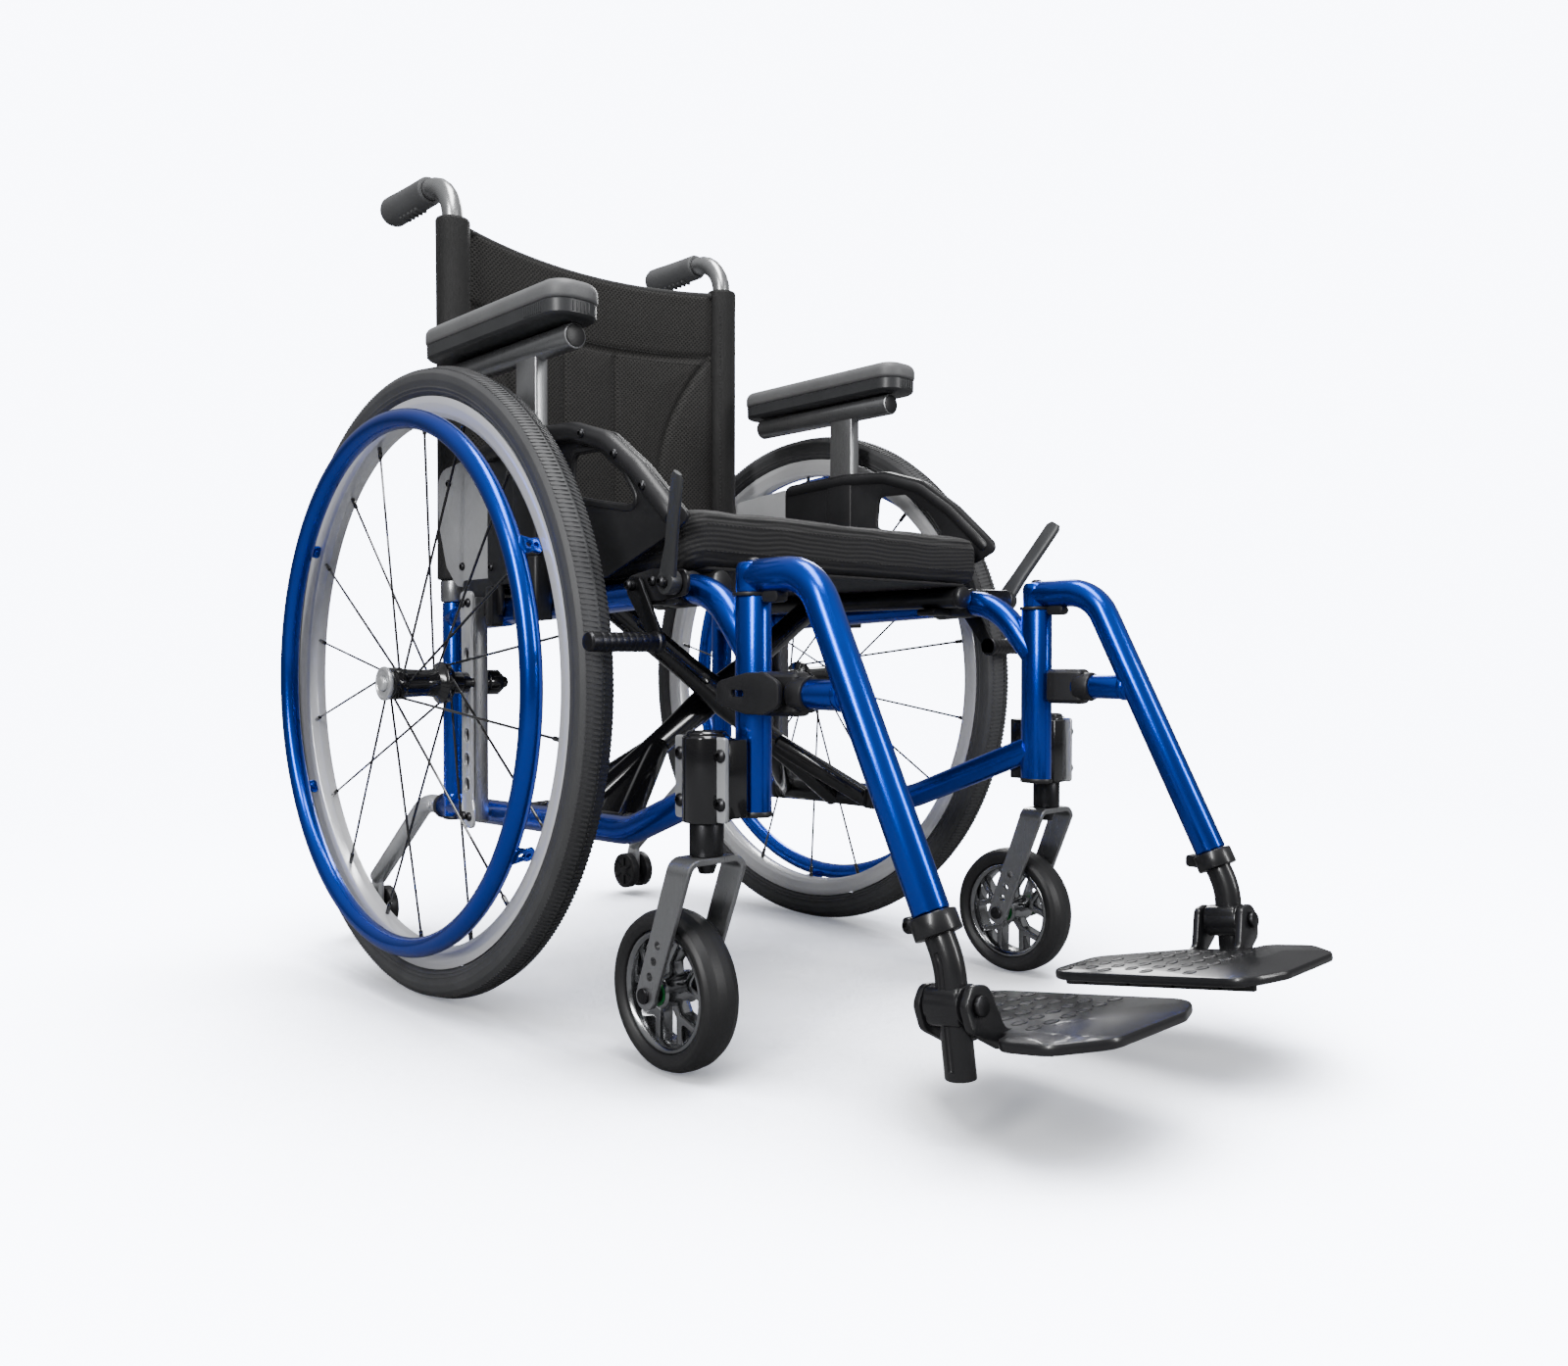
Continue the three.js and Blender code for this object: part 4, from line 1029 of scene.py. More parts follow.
def press_seams(mesh, heights, depth, wide):
    """Seams round a cushion's sides, pressed in once the cloth has settled, with soft wrinkles beside."""
    random.seed(7)
    middle_y = (SEAT_Y[0] + SEAT_Y[1]) / 2
    for v in mesh.vertices:
        x, y, z = v.co.x / MM, v.co.y / MM - AXLE_Y, v.co.z / MM
        edge = max(abs(x) / SEAT_X, abs(y - middle_y) / ((SEAT_Y[1] - SEAT_Y[0]) / 2))
        if edge < 0.93:
            v.co.z += 0.5 * MM * math.sin(x * 0.031 + 1) * math.sin(y * 0.027)
            continue
        groove = sum(math.exp(-((z - h) / wide) ** 2) for h in heights)
        fold = math.sin(z * 0.62 + 2.2 * math.sin(x * 0.021) + 1.7 * math.sin(y * 0.019)) * 0.35
        pull = (depth * groove - fold * (1 - min(1, groove))) * MM
        v.co.x -= math.copysign(pull, x) * (1 if abs(x) / SEAT_X > 0.93 else 0)
        v.co.y -= math.copysign(pull, y - middle_y) * (1 if abs(x) / SEAT_X <= 0.93 else 0)
    return mesh


SEAMS = (SEAT_LOW + 8, SEAT_HIGH - 8)
press_seams(cushion_mesh, SEAMS, 1.6, 2.0)
cushion = piece("seat_cushion", cushion_mesh, "seat", COVER, ["seat_cushion"], 80)


def against(thing, points, towards):
    """Points moved along a direction on to the surface of a thing."""
    hits = []
    for start in points:
        hit, place, normal, _ = thing.ray_cast(in_frame(start), Vector(towards))
        if hit:
            hits.append((place.x / MM, place.y / MM - AXLE_Y, place.z / MM))
    return hits


seam_rows = []
for z in (SEAMS[0] + 4.5, SEAMS[1] - 4.5):
    ahead = against(cushion, [(x, SEAT_Y[0] - 60, z) for x in range(-176, 177, 5)], (0, 1, 0))
    seam_rows.append(on_points([tube([(-1.5, 0, 0), (0, -0.4, 0), (1.5, 0, 0)], 0.5, 0, 6, soft=0.2)],
                               ahead, THREAD))
    for side in (-1, 1):
        flank = against(cushion, [(side * (SEAT_X + 60), y, z) for y in range(-310, 40, 5)], (-side, 0, 0))
        seam_rows.append(on_points([tube([(0, -1.5, 0), (side * 0.4, 0, 0), (0, 1.5, 0)], 0.5, 0, 6,
                                         soft=0.2)], flank, THREAD))
seat_trim = [piece(f"cushion_stitches_{i}", mesh, "seat", THREAD) for i,
             mesh in enumerate(seam_rows)]

# %% Sling seat
SLING_Z = middle("seat_sling")[2]
SLING_Y = [edge[1] / MM - AXLE_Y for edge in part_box("seat_sling")]
SLING_X = size("seat_sling")[0] / 2
sling_outline = soften([(-SLING_X, SLING_Y[0]), (SLING_X, SLING_Y[0]), (SLING_X, SLING_Y[1]),
                        (-SLING_X, SLING_Y[1])], 6)
sling = piece("seat_sling", mesh_of([plate(sling_outline, (SLING_Z - 1.4, SLING_Z + 1.4), "z", 0.9)]),
              "seat", BINDING,
              ["seat_sling"])
2 * SLING_X * MM
(SLING_Y[1] - SLING_Y[0]) * MM
for soft_piece in [cushion, sling, *seat_trim]:
    FOOT_X * MM
    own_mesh(soft_piece)

# %% [markdown]
# ## Armrests and side guards
# A moulded pad on a short tube, one flat post that slides in a socket, and a guard in two parts: a
# grey panel beside the wheel and a black curved shell ahead of it, with its screws along the edge.

# %% Arm pad and post
PAD_LOW, PAD_HIGH = [edge[2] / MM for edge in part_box("arm_pad_left")]
PAD_X = middle("arm_pad_left")[0]
PAD_Y = [edge[1] / MM - AXLE_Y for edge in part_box("arm_pad_left")]
PAD_HALF = size("arm_pad_left")[0] / 2
pad_corners = [(PAD_X - PAD_HALF, PAD_Y[0]), (PAD_X + PAD_HALF, PAD_Y[0]), (PAD_X + PAD_HALF, PAD_Y[1]),
               (PAD_X - PAD_HALF, PAD_Y[1])]
pad_outline = soften(pad_corners, 22, 9)
top_levels = [(PAD_LOW + 15, 2.2), (PAD_LOW + 16, 0.6), (PAD_LOW + 18, 0)]
top_levels += [(PAD_HIGH - 9 + 9 * math.sin(a),
                9 * (1 - math.cos(a)) + 0.01) for a in (math.pi / 2 * k / 7 for k in range(8))]
top_levels += [(PAD_HIGH + 0.5, 16)]
pad = pair("arm_pad", mesh_of([pillow(pad_outline, top_levels)]), "armrest_*", FOAM,
           ["arm_pad_*"], 50)
tray_levels = [(PAD_LOW, 5), (PAD_LOW + 1.2, 3), (PAD_LOW + 3, 1.4), (PAD_LOW + 14, 1.2),
               (PAD_LOW + 15, 2.4)]
pair("pad_tray", mesh_of([pillow(pad_outline, tray_levels)]), "armrest_*", LEVER)
nick = [block((-0.7, 0.7), (-1.0, 1.0), (-4.6, 4.6), 0.4, 0.3)]
nick_places = [(PAD_X + PAD_HALF - 1.4, PAD_Y[0] + 26 + 3.4 * k, PAD_LOW + 8.6) for k in range(9)]
nick_places += [(x, PAD_Y[0] + 1.4, PAD_LOW + 8.6) for x in (PAD_X - 8, PAD_X - 4, PAD_X, PAD_X + 4,
                                                             PAD_X + 8)]
pair("tray_ridges", on_points(nick, nick_places, LEVER), "armrest_*", LEVER)

ARM_X, ARM_Z = OUT + 11, PAD_LOW - 12.2
POST_LOW = UPPER_Z + 55
BAR_HALF, BAR_Y = 7, (-131, -95)
arm = [tube([(ARM_X, PAD_Y[0] + 19, ARM_Z), (ARM_X, 29, ARM_Z)], 11.8, 0, 36, soft=1.4)]
arm += [block((ARM_X - BAR_HALF, ARM_X + BAR_HALF), BAR_Y, (POST_LOW, ARM_Z), 2.5, 1.0, "z")]
pair("arm_post", mesh_of(arm), "armrest_*", GUNMETAL, ["arm_post_*"])
arm_screws = [(ARM_X + BAR_HALF, sum(BAR_Y) / 2, POST_LOW + 116)]
screws("arm_screws", arm_screws, "armrest_*", radius=3.6)
arm_ends = [disc((ARM_X, PAD_Y[0] + 18.6, ARM_Z), 10.0, 1.6, "y", 0.7, 28)]
pair("arm_caps", mesh_of(arm_ends), "armrest_*", PLASTIC)

# %% Guard: panel, shell and socket
inner_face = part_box("side_guard_left")[0][0] / MM
shell_outline = soften([(-20, 541), (-120, 545), (-185, 541), (-240, 525), (-285, 494), (-322, 462),
                        (-339, 447), (-336, 440),
                        (-318, 432), (-225, 400), (-120, 401), (-20, 402)], 12, 4)
shell_window = soften([(-176, 513), (-214, 512), (-250, 488), (-270, 462), (-256, 462), (-210, 470),
                       (-172, 478)], 7, 4)
shell = [plate(shell_outline, (inner_face + 0.4, inner_face + 5), "x", 1.8, [shell_window[::-1]])]
rim_route = [(inner_face + 8, a, b) for a,
             b in ((-22, 533), (-120, 537), (-183, 533), (-235, 517), (-278, 488), (-313, 457),
                   (-327, 444))]
shell.append(tube(rim_route, 9, 60, 28, wide=1.1, soft=4))
window_route = [(inner_face + 4.2, p.x, p.y) for p in grown(shell_window, 4)]
shell.append(tube(window_route + window_route[:2], 3.0, 0, 12, soft=0.5))
shell.append(block((ARM_X - 10, ARM_X + 10), (-134, -92), (UPPER_Z - 10, UPPER_Z + 50), 4, 1.5, "z"))


def round_bar(gap):
    """The armrest bar's rectangle with this much room around it."""
    half = BAR_HALF + gap
    fore, aft = BAR_Y[0] - gap, BAR_Y[1] + gap
    return [(ARM_X - half, fore), (ARM_X + half, fore), (ARM_X + half, aft), (ARM_X - half, aft)]


socket_wall, socket_hole = round_bar(3), round_bar(0.3)
shell.append(plate(soften(socket_wall, 4), (UPPER_Z + 50, UPPER_Z + 168), "z", 0.8,
                   [soften(socket_hole, 1.2)]))
pair("side_guard", mesh_of(shell), "*_frame", PLASTIC, ["side_guard_*"], 40)

panel_outline = soften([(87, 527), (82, 470), (66, 425), (44, 404), (14, 401), (-40, 401), (-40, 539)], 22,
                       6)
pair("guard_panel", mesh_of([plate(panel_outline, (inner_face + 0.6, inner_face + 4.2), "x", 1.4)]),
     "*_frame", PANEL)
tab_shape = soften([(30, 410), (34, 380), (28, 372), (-44, 372), (-48, 380), (-46, 410)], 5)
clip = [plate(tab_shape, (OUT + 2, OUT + 5.6), "x", 1.0),
        block((OUT - 1, OUT + 12), (-40, -26), (UPPER_Z - 14, UPPER_Z + 26), 4, 1.5)]
pair("guard_bracket", mesh_of(clip), "*_frame", BLACK)
shell_screws = [(inner_face + 17.4, a, b) for a,
                b in ((-60, 535), (-140, 536), (-207, 527), (-256, 503), (-296, 472))]
shell_screws += [(inner_face + 4.2, a, b) for a, b in ((58, 512), (30, 424), (-28, 420))]
screws("guard_screws", shell_screws, "*_frame", radius=4.2)
knob = [turned([(0, 0), (5, 0), (5, 6), (9, 7.5), (10, 10), (10, 16), (8, 18.5), (0, 19.5)],
               (ARM_X + 10, -113, UPPER_Z + 146), "x", 30, 1.0)]
pair("height_knob", mesh_of(knob), "*_frame", PLASTIC)

# %% [markdown]
# ## Wheel locks
# Push-to-lock brakes: a clamped plate, a slim lever, an arm that follows it, and a finely
# grooved shoe that presses on the tread.

# %% Brakes


def blade_of(stations, sides=28):
    """A flattened bar through stations of (middle, half width, half thickness), each a vector."""
    verts, faces = [], []
    for middle_point, wide, thick in stations:
        for k in range(sides):
            a = 2 * math.pi * k / sides
            across, through = (math.copysign(abs(f(a)) ** 0.7, f(a)) for f in (math.cos, math.sin))
            verts.append(Vector(middle_point) + Vector(wide) * across + Vector(thick) * through)
    for i in range(len(stations) - 1):
        for k in range(sides):
            a, b = i * sides + k, i * sides + (k + 1) % sides
            faces.append((a, b, b + sides, a + sides))
    faces += [tuple(range(sides - 1, -1, -1)), tuple(range(len(verts) - sides, len(verts)))]
    return verts, faces


LOCK_Y, LOCK_Z = -(TYRE_R - 19), UPPER_Z + 15
LEVER_Y, LINK = LOCK_Y - 52, OUT + 18
mount = soften([(LOCK_Y - 66, LOCK_Z + 10), (LOCK_Y - 66, LOCK_Z - 10), (LOCK_Y - 30, LOCK_Z - 14),
                (LOCK_Y + 12, LOCK_Z - 12),
                (LOCK_Y + 15, LOCK_Z + 8), (LOCK_Y - 20, LOCK_Z + 13)], 7)
body = [plate(mount, (OUT + 13, OUT + 17), "x", 1.0),
        block((OUT, OUT + 13.4), (LOCK_Y - 36, LOCK_Y - 6), (UPPER_Z - 2, UPPER_Z + 27), 6, 1.5),
        tube([(FRAME_X, LOCK_Y - 37, UPPER_Z + 12), (FRAME_X, LOCK_Y - 5, UPPER_Z + 10.8)], TUBE_R + 2.4, 0,
             40, soft=1.2)]
pins = [disc((OUT + 21, LOCK_Y, LOCK_Z), 4, 9, "x"), disc((OUT + 24, LEVER_Y, LOCK_Z), 4, 15, "x")]
pair("brake_body", mesh_of(body + pins), "*_frame", BLACK, ["brake_body_*"])
screws("brake_screws",
       [(OUT + 17, LOCK_Y - 21, LOCK_Z + 3), (OUT + 17, LOCK_Y - 46, LOCK_Z), (OUT + 25.6, LOCK_Y, LOCK_Z),
                        (OUT + 31.6, LEVER_Y, LOCK_Z)], "*_frame", radius=4.6)

shoe_y, shoe_z = LOCK_Y - 32, LOCK_Z - 48
arm_outline = soften([(LOCK_Y - 9, LOCK_Z + 6), (shoe_y - 9, shoe_z + 1), (shoe_y - 7, shoe_z - 8),
                      (shoe_y + 8, shoe_z - 7),
                      (shoe_y + 10, shoe_z + 4), (LOCK_Y + 9, LOCK_Z - 6), (LOCK_Y + 5, LOCK_Z + 8)], 5)
reach = WHEEL_X + 24 - LINK
ribbed = [(0, 0), (8.8, 0), (9.6, 1), (9.6, 5), (8.0, 6)]
for k in range(9):
    at = 8 + k * (reach - 14) / 9
    ribbed += [(8.0, at), (7.8, at + 1), (7.8, at + 2.2), (8.0, at + 3.2)]
ribbed += [(8.0, reach - 2), (7, reach), (0, reach)]
shoe = [plate(arm_outline, (LINK, LINK + 4), "x", 0.9, [hole_at(LOCK_Y, LOCK_Z, 4.5, 20)]),
        turned(ribbed, (LINK, shoe_y, shoe_z), "x", 32, 0.3)]
pair("brake_shoe", mesh_of(shoe), "brake_shoe_*", STEEL, ["brake_shoe_*"])

blade = [turned([(4.6, 0), (10, 0), (10, 11), (4.6, 11)], (LINK, LEVER_Y, LOCK_Z), "x", 30, 0.8, ring=True),
         blade_of([((LINK + 6, LEVER_Y + 1, LOCK_Z - 5), (0, 8, 3), (3.6, 0, 0)),
                   ((LINK + 7, LEVER_Y, LOCK_Z + 6), (0, 9, 4), (4, 0, 0)),
                   ((LINK + 13, LEVER_Y - 12, LOCK_Z + 26), (0, 7, 3.8), (3.4, -0.6, -1)),
                   ((LINK + 22, LEVER_Y - 27, LOCK_Z + 52), (0, 7, 3.8), (2.8, -0.8, -1.2)),
                   ((LINK + 30, LEVER_Y - 41, LOCK_Z + 76), (0, 7, 3.8), (2.4, -0.8, -1.2)),
                   ((LINK + 31.4, LEVER_Y - 43.4, LOCK_Z + 80), (0, 4.4, 2.4), (1.6, -0.5, -0.8))])]
pair("brake_lever", mesh_of(blade), "brake_lever_*", LEVER, ["brake_lever_*"])

# %% [markdown]
# ## Casters
# A gloss barrel on a bright flange plate with four bolts, a fork bent from one brushed plate, and a
# smooth wheel with five forked spokes.

# %% Housing, fork and wheel
STEM_Y = CASTER_Y - 40
HOUSE_LOW, HOUSE_HIGH = LOWER_Z + 34, LOWER_Z + 101
STEM = (CASTER_X, STEM_Y, 0)
housing = [turned([(0, HOUSE_LOW), (19, HOUSE_LOW), (19, HOUSE_HIGH - 2), (17.5, HOUSE_HIGH),
                   (0, HOUSE_HIGH)], STEM, "z", 64, 1.0),
           turned([(0, HOUSE_HIGH - 1), (16, HOUSE_HIGH - 1), (16, HOUSE_HIGH + 1.6), (14, HOUSE_HIGH + 3),
                   (0, HOUSE_HIGH + 3.4)], STEM, "z", 56, 0.8),
           block((POST_X + 13.3, CASTER_X + 1.2), (STEM_Y - 24, STEM_Y + 30),
                 (HOUSE_LOW + 3, HOUSE_HIGH - 3), 4, 1.2, "z")]
pair("caster_housing", mesh_of(housing), "*_frame", GLOSS, ["caster_housing_*"])
flange = block((CASTER_X + 1, CASTER_X + 5), (STEM_Y - 28, STEM_Y + 33), (HOUSE_LOW + 1, HOUSE_HIGH - 1), 3,
               0.9)
pair("housing_flange", mesh_of([flange]), "*_frame", SILVER)
bolt_places = [(CASTER_X + 5, y, z) for y in (STEM_Y - 23, STEM_Y + 26) for z in (HOUSE_LOW + 15,
                                                                                  HOUSE_HIGH - 15)]
screws("housing_bolts", bolt_places, "*_frame", radius=5.2)


def fork():
    """A plate bent into a U across the wheel, leaning back from the stem to the axle."""
    half, top = 27.5, HOUSE_LOW - 29
    low_end = CASTER_R - 12
    path = [(-half, low_end), (-half, top), (half, top), (half, low_end)]
    line = [Vector((p.x, 0, p.y)) for p in rounded_route([(a, b, 0) for a, b in path], 10, 8)]
    dense = []
    for a, b in zip(line, line[1:]):
        steps = max(1, int((b - a).length / 3))
        dense += [a.lerp(b, k / steps) for k in range(steps)]
    dense.append(line[-1])
    verts, faces = [], []
    for i, point in enumerate(dense):
        along = (dense[min(i + 1, len(dense) - 1)] - dense[max(i - 1, 0)]).normalized()
        out = Vector((-along.z, 0, along.x))
        share = max(0.0, min(1.0, (top - 8 - point.z) / (top - 8 - CASTER_R)))
        middle_y = STEM_Y + 40 * share
        half_y = 13.5 - 1.5 * share
        if point.z < CASTER_R:
            half_y = max(1.0, math.sqrt(max(0.0, 144 - (CASTER_R - point.z) ** 2)))
        for across, away in ((-1, -1.4), (-0.93, -2.5), (0.93, -2.5), (1, -1.4), (1, 1.4), (0.93, 2.5),
                             (-0.93, 2.5), (-1, 1.4)):
            verts.append(Vector((CASTER_X + point.x, middle_y + across * half_y, point.z)) + out * away)
    for i in range(len(dense) - 1):
        for k in range(8):
            a, b = i * 8 + k, i * 8 + (k + 1) % 8
            faces.append((a, b, b + 8, a + 8))
    faces += [tuple(range(7, -1, -1)), tuple(range(len(verts) - 8, len(verts)))]
    return verts, faces


fork_holes = []
for rise in (16, 29, 42):
    slope = rise / (HOUSE_LOW - 37 - CASTER_R)
    drill_y, drill_z = CASTER_Y - 40 * slope, CASTER_R + rise
    fork_holes.append(tube([(CASTER_X - 40, drill_y, drill_z), (CASTER_X + 40, drill_y, drill_z)], 3.5, 0,
                           20))
pair("caster_fork", drilled(mesh_of([fork()]), fork_holes), "caster_fork_*", GUNMETAL,
     ["caster_fork_*"])
stem = [turned([(0, HOUSE_LOW - 26), (13.5, HOUSE_LOW - 26), (13.5, HOUSE_LOW - 0.4), (0, HOUSE_LOW - 0.4)],
               STEM, "z", 48, 0.8),
        turned([(0, HOUSE_LOW - 1), (8.8, HOUSE_LOW - 1), (8.8, HOUSE_HIGH - 13), (0, HOUSE_HIGH - 13)],
               STEM, "z", 32, 0.5),
        turned([(0, HOUSE_LOW - 40), (6, HOUSE_LOW - 40), (7, HOUSE_LOW - 37), (9, HOUSE_LOW - 31.6),
                (0, HOUSE_LOW - 31.6)], STEM, "z", 30, 0.5)]
pair("fork_stem", mesh_of(stem), "caster_fork_*", STEEL)
axle_ends = [disc((CASTER_X + side * 31.6, CASTER_Y, CASTER_R), 6.2, 3.2, "x", 1.0, 26) for side in (-1, 1)]
axle_ends += [turned([(0, -30), (3.8, -30), (3.8, 30), (0, 30)], (CASTER_X, CASTER_Y, CASTER_R), sides=24)]
axle_ends += [turned([(4.6, s * 18.4), (8, s * 18.4), (6.2, s * 24.8), (4.6, s * 24.8)],
                     (CASTER_X, CASTER_Y, CASTER_R), sides=28, soft=0.3, ring=True) for s in (-1, 1)]
pair("caster_axle", mesh_of(axle_ends), "caster_fork_*", STEEL)

CASTER = (CASTER_X, CASTER_Y, CASTER_R)
tread_in = CASTER_R - 16
roller = [(tread_in, -14), (tread_in + 5, -17), (tread_in + 9, -17.6), (CASTER_R - 3.5, -14.5),
          (CASTER_R - 0.8, -8), (CASTER_R - 0.2, 0)]
roller += [(r, -x) for r, x in reversed(roller[:-1])]
pair("caster_tyre", mesh_of([turned(roller, CASTER, sides=120, soft=2.4, ring=True)]), "caster_wheel_*",
     ROLLER, ["caster_tyre_*"])
felloe = [(tread_in - 0.4, -13), (tread_in - 0.4, 13), (tread_in - 3, 13.6), (tread_in - 5.5, 11),
          (tread_in - 7, 5), (tread_in - 7, -5), (tread_in - 5.5, -11), (tread_in - 3, -13.6)]
centre_boss = [(4.5, -17.8), (11, -17.8), (13, -15.5), (13, 15.5), (11, 17.8), (4.5, 17.8)]
wheel_parts = [turned(felloe, CASTER, sides=96, soft=0.9, ring=True),
               turned(centre_boss, CASTER, sides=48, soft=0.8, ring=True)]
pair("caster_wheel", mesh_of(wheel_parts), "caster_wheel_*", POLISHED, ["caster_wheel_*"])
forked = soften([(-4.5, 10), (-3.6, 22), (-16.5, 40.5), (-10.5, 43.6), (0, 29), (10.5, 43.6), (16.5, 40.5),
                 (3.6, 22), (4.5, 10)], 2.2, 2)
spoke_shape = plate([(p.x, p.y) for p in forked], (-7, 7), "x", 1.5)
pair("caster_spokes", round_axle([spoke_shape], 5, CASTER, POLISHED), "caster_wheel_*", POLISHED)
seal = [turned([(7.6, s * 17.6), (10.2, s * 17.6), (10.2, s * 18.6), (7.6, s * 18.6)], CASTER, sides=40,
               soft=0.2, ring=True) for s in (-1, 1)]
pair("bearing_seal", mesh_of(seal), "caster_wheel_*", SEAL)

# %% [markdown]
# ## Footrests
# The blue hanger swings out about the front post. Its latch hugs the post, and the black extension
# tube below its collar carries a hinged plate with rows of low ovals for grip.

# %% Hanger and latch
HANGER_Z = RAIL_Z + 1
LEAN, DROP, REACH = 0.503, 236, 65.3
hanger_end = Vector((POST_X + 4, POST_Y - REACH - DROP * LEAN, HANGER_Z - DROP))
CROSS_Z = HANGER_Z - 91
lean_at = POST_Y - REACH - 91 * LEAN
hanger = [tube([(POST_X, POST_Y, HANGER_Z), (POST_X, POST_Y - REACH, HANGER_Z), hanger_end], 13.5, 42, 48,
               soft=1.5),
          turned([(0, HANGER_Z - 13.8), (13.5, HANGER_Z - 13.8), (13.8, HANGER_Z + 6), (12, HANGER_Z + 11),
                  (0, HANGER_Z + 12)], (POST_X, POST_Y, 0), "z", 48, 2.4),
          tube([(POST_X + 1, lean_at, CROSS_Z), (POST_X, POST_Y - 46, CROSS_Z)], 11.5, 0, 44),
          weld_bead((POST_X + 1, lean_at + 12.5, CROSS_Z), (0, 1, 0), 11.5)]
pair("hanger", mesh_of(hanger), "footrest_*", BLUE, ["hanger_*"])
gasket = [turned([(13.9, HANGER_Z - 15.4), (16.6, HANGER_Z - 15.4), (16.6, HANGER_Z - 12.6),
                  (13.9, HANGER_Z - 12.6)], (POST_X, POST_Y, 0), "z", 48, 0.5, ring=True),
          block((POST_X - 6, POST_X + 6), (POST_Y - 34, POST_Y - 15), (HANGER_Z - 21, HANGER_Z - 12), 4,
                1.4)]
pair("hanger_gasket", mesh_of(gasket), "footrest_*", PLASTIC)
screws("hanger_screw", [(POST_X, POST_Y, HANGER_Z + 11.6)], "footrest_*", "+z", 5.6)

hug = soften([(POST_X - 13, POST_Y - 17.8), (POST_X + 14, POST_Y - 17.8), (POST_X + 14, POST_Y - 30),
              (POST_X + 9, POST_Y - 58),
              (POST_X - 9, POST_Y - 58), (POST_X - 13, POST_Y - 30)], 6, 4)
hug_levels = [(CROSS_Z - 17, 5), (CROSS_Z - 16, 2.2), (CROSS_Z - 13, 0), (CROSS_Z + 13, 0),
              (CROSS_Z + 16, 2.2), (CROSS_Z + 17, 5)]
neck = [tube([(POST_X, POST_Y - 48, CROSS_Z), (POST_X, POST_Y - 66, CROSS_Z)], 14, 0, 36, soft=2.5)]
pair("latch_housing", mesh_of([pillow(hug, hug_levels)] + neck), "footrest_*", PLASTIC)
rear_end, front_end = POST_Y + 20, POST_Y - 52
lever_shape = soften([(front_end, CROSS_Z - 9), (front_end + 18, CROSS_Z - 16), (POST_Y - 14, CROSS_Z - 16),
                      (rear_end, CROSS_Z - 9),
                      (rear_end, CROSS_Z + 9), (POST_Y - 14, CROSS_Z + 16), (front_end + 18, CROSS_Z + 17),
                      (front_end, CROSS_Z + 9)], 7, 4)
slot_shape = soften([(POST_Y - 12, CROSS_Z - 2.4), (POST_Y + 2, CROSS_Z - 2.4), (POST_Y + 2, CROSS_Z + 2.4),
                     (POST_Y - 12, CROSS_Z + 2.4)], 2.2, 4)
lever_x = POST_X + 17
pair("hanger_latch", mesh_of([plate(lever_shape, (lever_x, lever_x + 5), "x", 1.6, [slot_shape])]),
     "latch_*", PLASTIC, ["hanger_latch_*"])

# %% Collar and extension tube
fall = Vector((0, -math.sin(math.atan(LEAN)), -math.cos(math.atan(LEAN))))
HINGE = Vector((POST_X + 2, hanger_end.y - 16, 98))
collar_start, collar_end = hanger_end + fall * 0.9, hanger_end + fall * 15.5
collar = [tube([collar_start, collar_end], 17, 0, 48, soft=1.0),
          block((POST_X - 1, POST_X + 9), (hanger_end.y + 4, hanger_end.y + 22),
                (hanger_end.z - 16, hanger_end.z - 5), 3, 1.0)]
pair("extension_collar", mesh_of(collar), "footrest_*", BLACK)
screws("collar_bolt", [(POST_X + 9, hanger_end.y + 15.5, hanger_end.z - 10.5)], "footrest_*", radius=5.4)
route = [collar_start, hanger_end + fall * 34, (POST_X + 2, hanger_end.y - 24, 50)]
stalk = tube(route, 11.4, 60, 40, wide=0.86, soft=1.0)
groove = [tube([Vector(p) + Vector((10.4, 0, 0)) for p in (hanger_end + fall * 26, hanger_end + fall * 34,
                                                           (POST_X + 2, hanger_end.y - 23.6, 56))], 2.6, 60,
                                                           14)]
pair("extension_tube", drilled(mesh_of([stalk]), groove), "footrest_*", BLACK,
     ["extension_tube_*"])

# %% Hinge and footplate
tip = Matrix.Translation(HINGE) @ Matrix.Rotation(math.radians(-9), 4, "X")


def on_plate(shapes):
    return [moved(shape, tip) for shape in shapes]


clamp = [block((-12.5, 12.5), (-14, 14), (-13, 13), 5, 2, "y"), disc((0, 0, 0), 13.5, 30, "y", 1.5, 48)]
clamp += [turned([(0, -25), (3.8, -25), (3.8, 25), (0, 25)], axis="y", sides=22)]
pair("footplate_bracket", mesh_of(on_plate(clamp)), "footrest_*", BLACK,
     ["footplate_bracket_*"])
TOP, THICK = -21, 13
outline = soften([(-152, 91), (-154, -90), (-114, -105), (-29, -104), (3, -74), (3, -32), (-22, -28),
                  (-28, 24), (-74, 91)], 24, 7)
cheek = soften([(-13, 12), (-26, -20), (-52, -23), (-52, -30), (-18, -32), (10, -16), (14, 2), (5, 14)], 9,
               4)
sole = [plate([(p.x, p.y) for p in outline], (TOP - 7.5, TOP), "z", 2.0)]
sole += [plate([(p.x, p.y) for p in cheek], (side * 20 - 3, side * 20 + 3), "y", 1.4,
               [hole_at(0, 0, 4.5, 20)]) for side in (-1, 1)]
under = [block((-138, end), (y - 2, y + 2), (TOP - THICK, TOP - 7), 1.5, 0.6) for y,
         end in ((-60, -20), (-20, -32), (20, -40), (60, -66))]
under += [block((x - 2, x + 2), (-88, 80), (TOP - THICK, TOP - 7), 1.5, 0.6) for x in (-136, -84)]
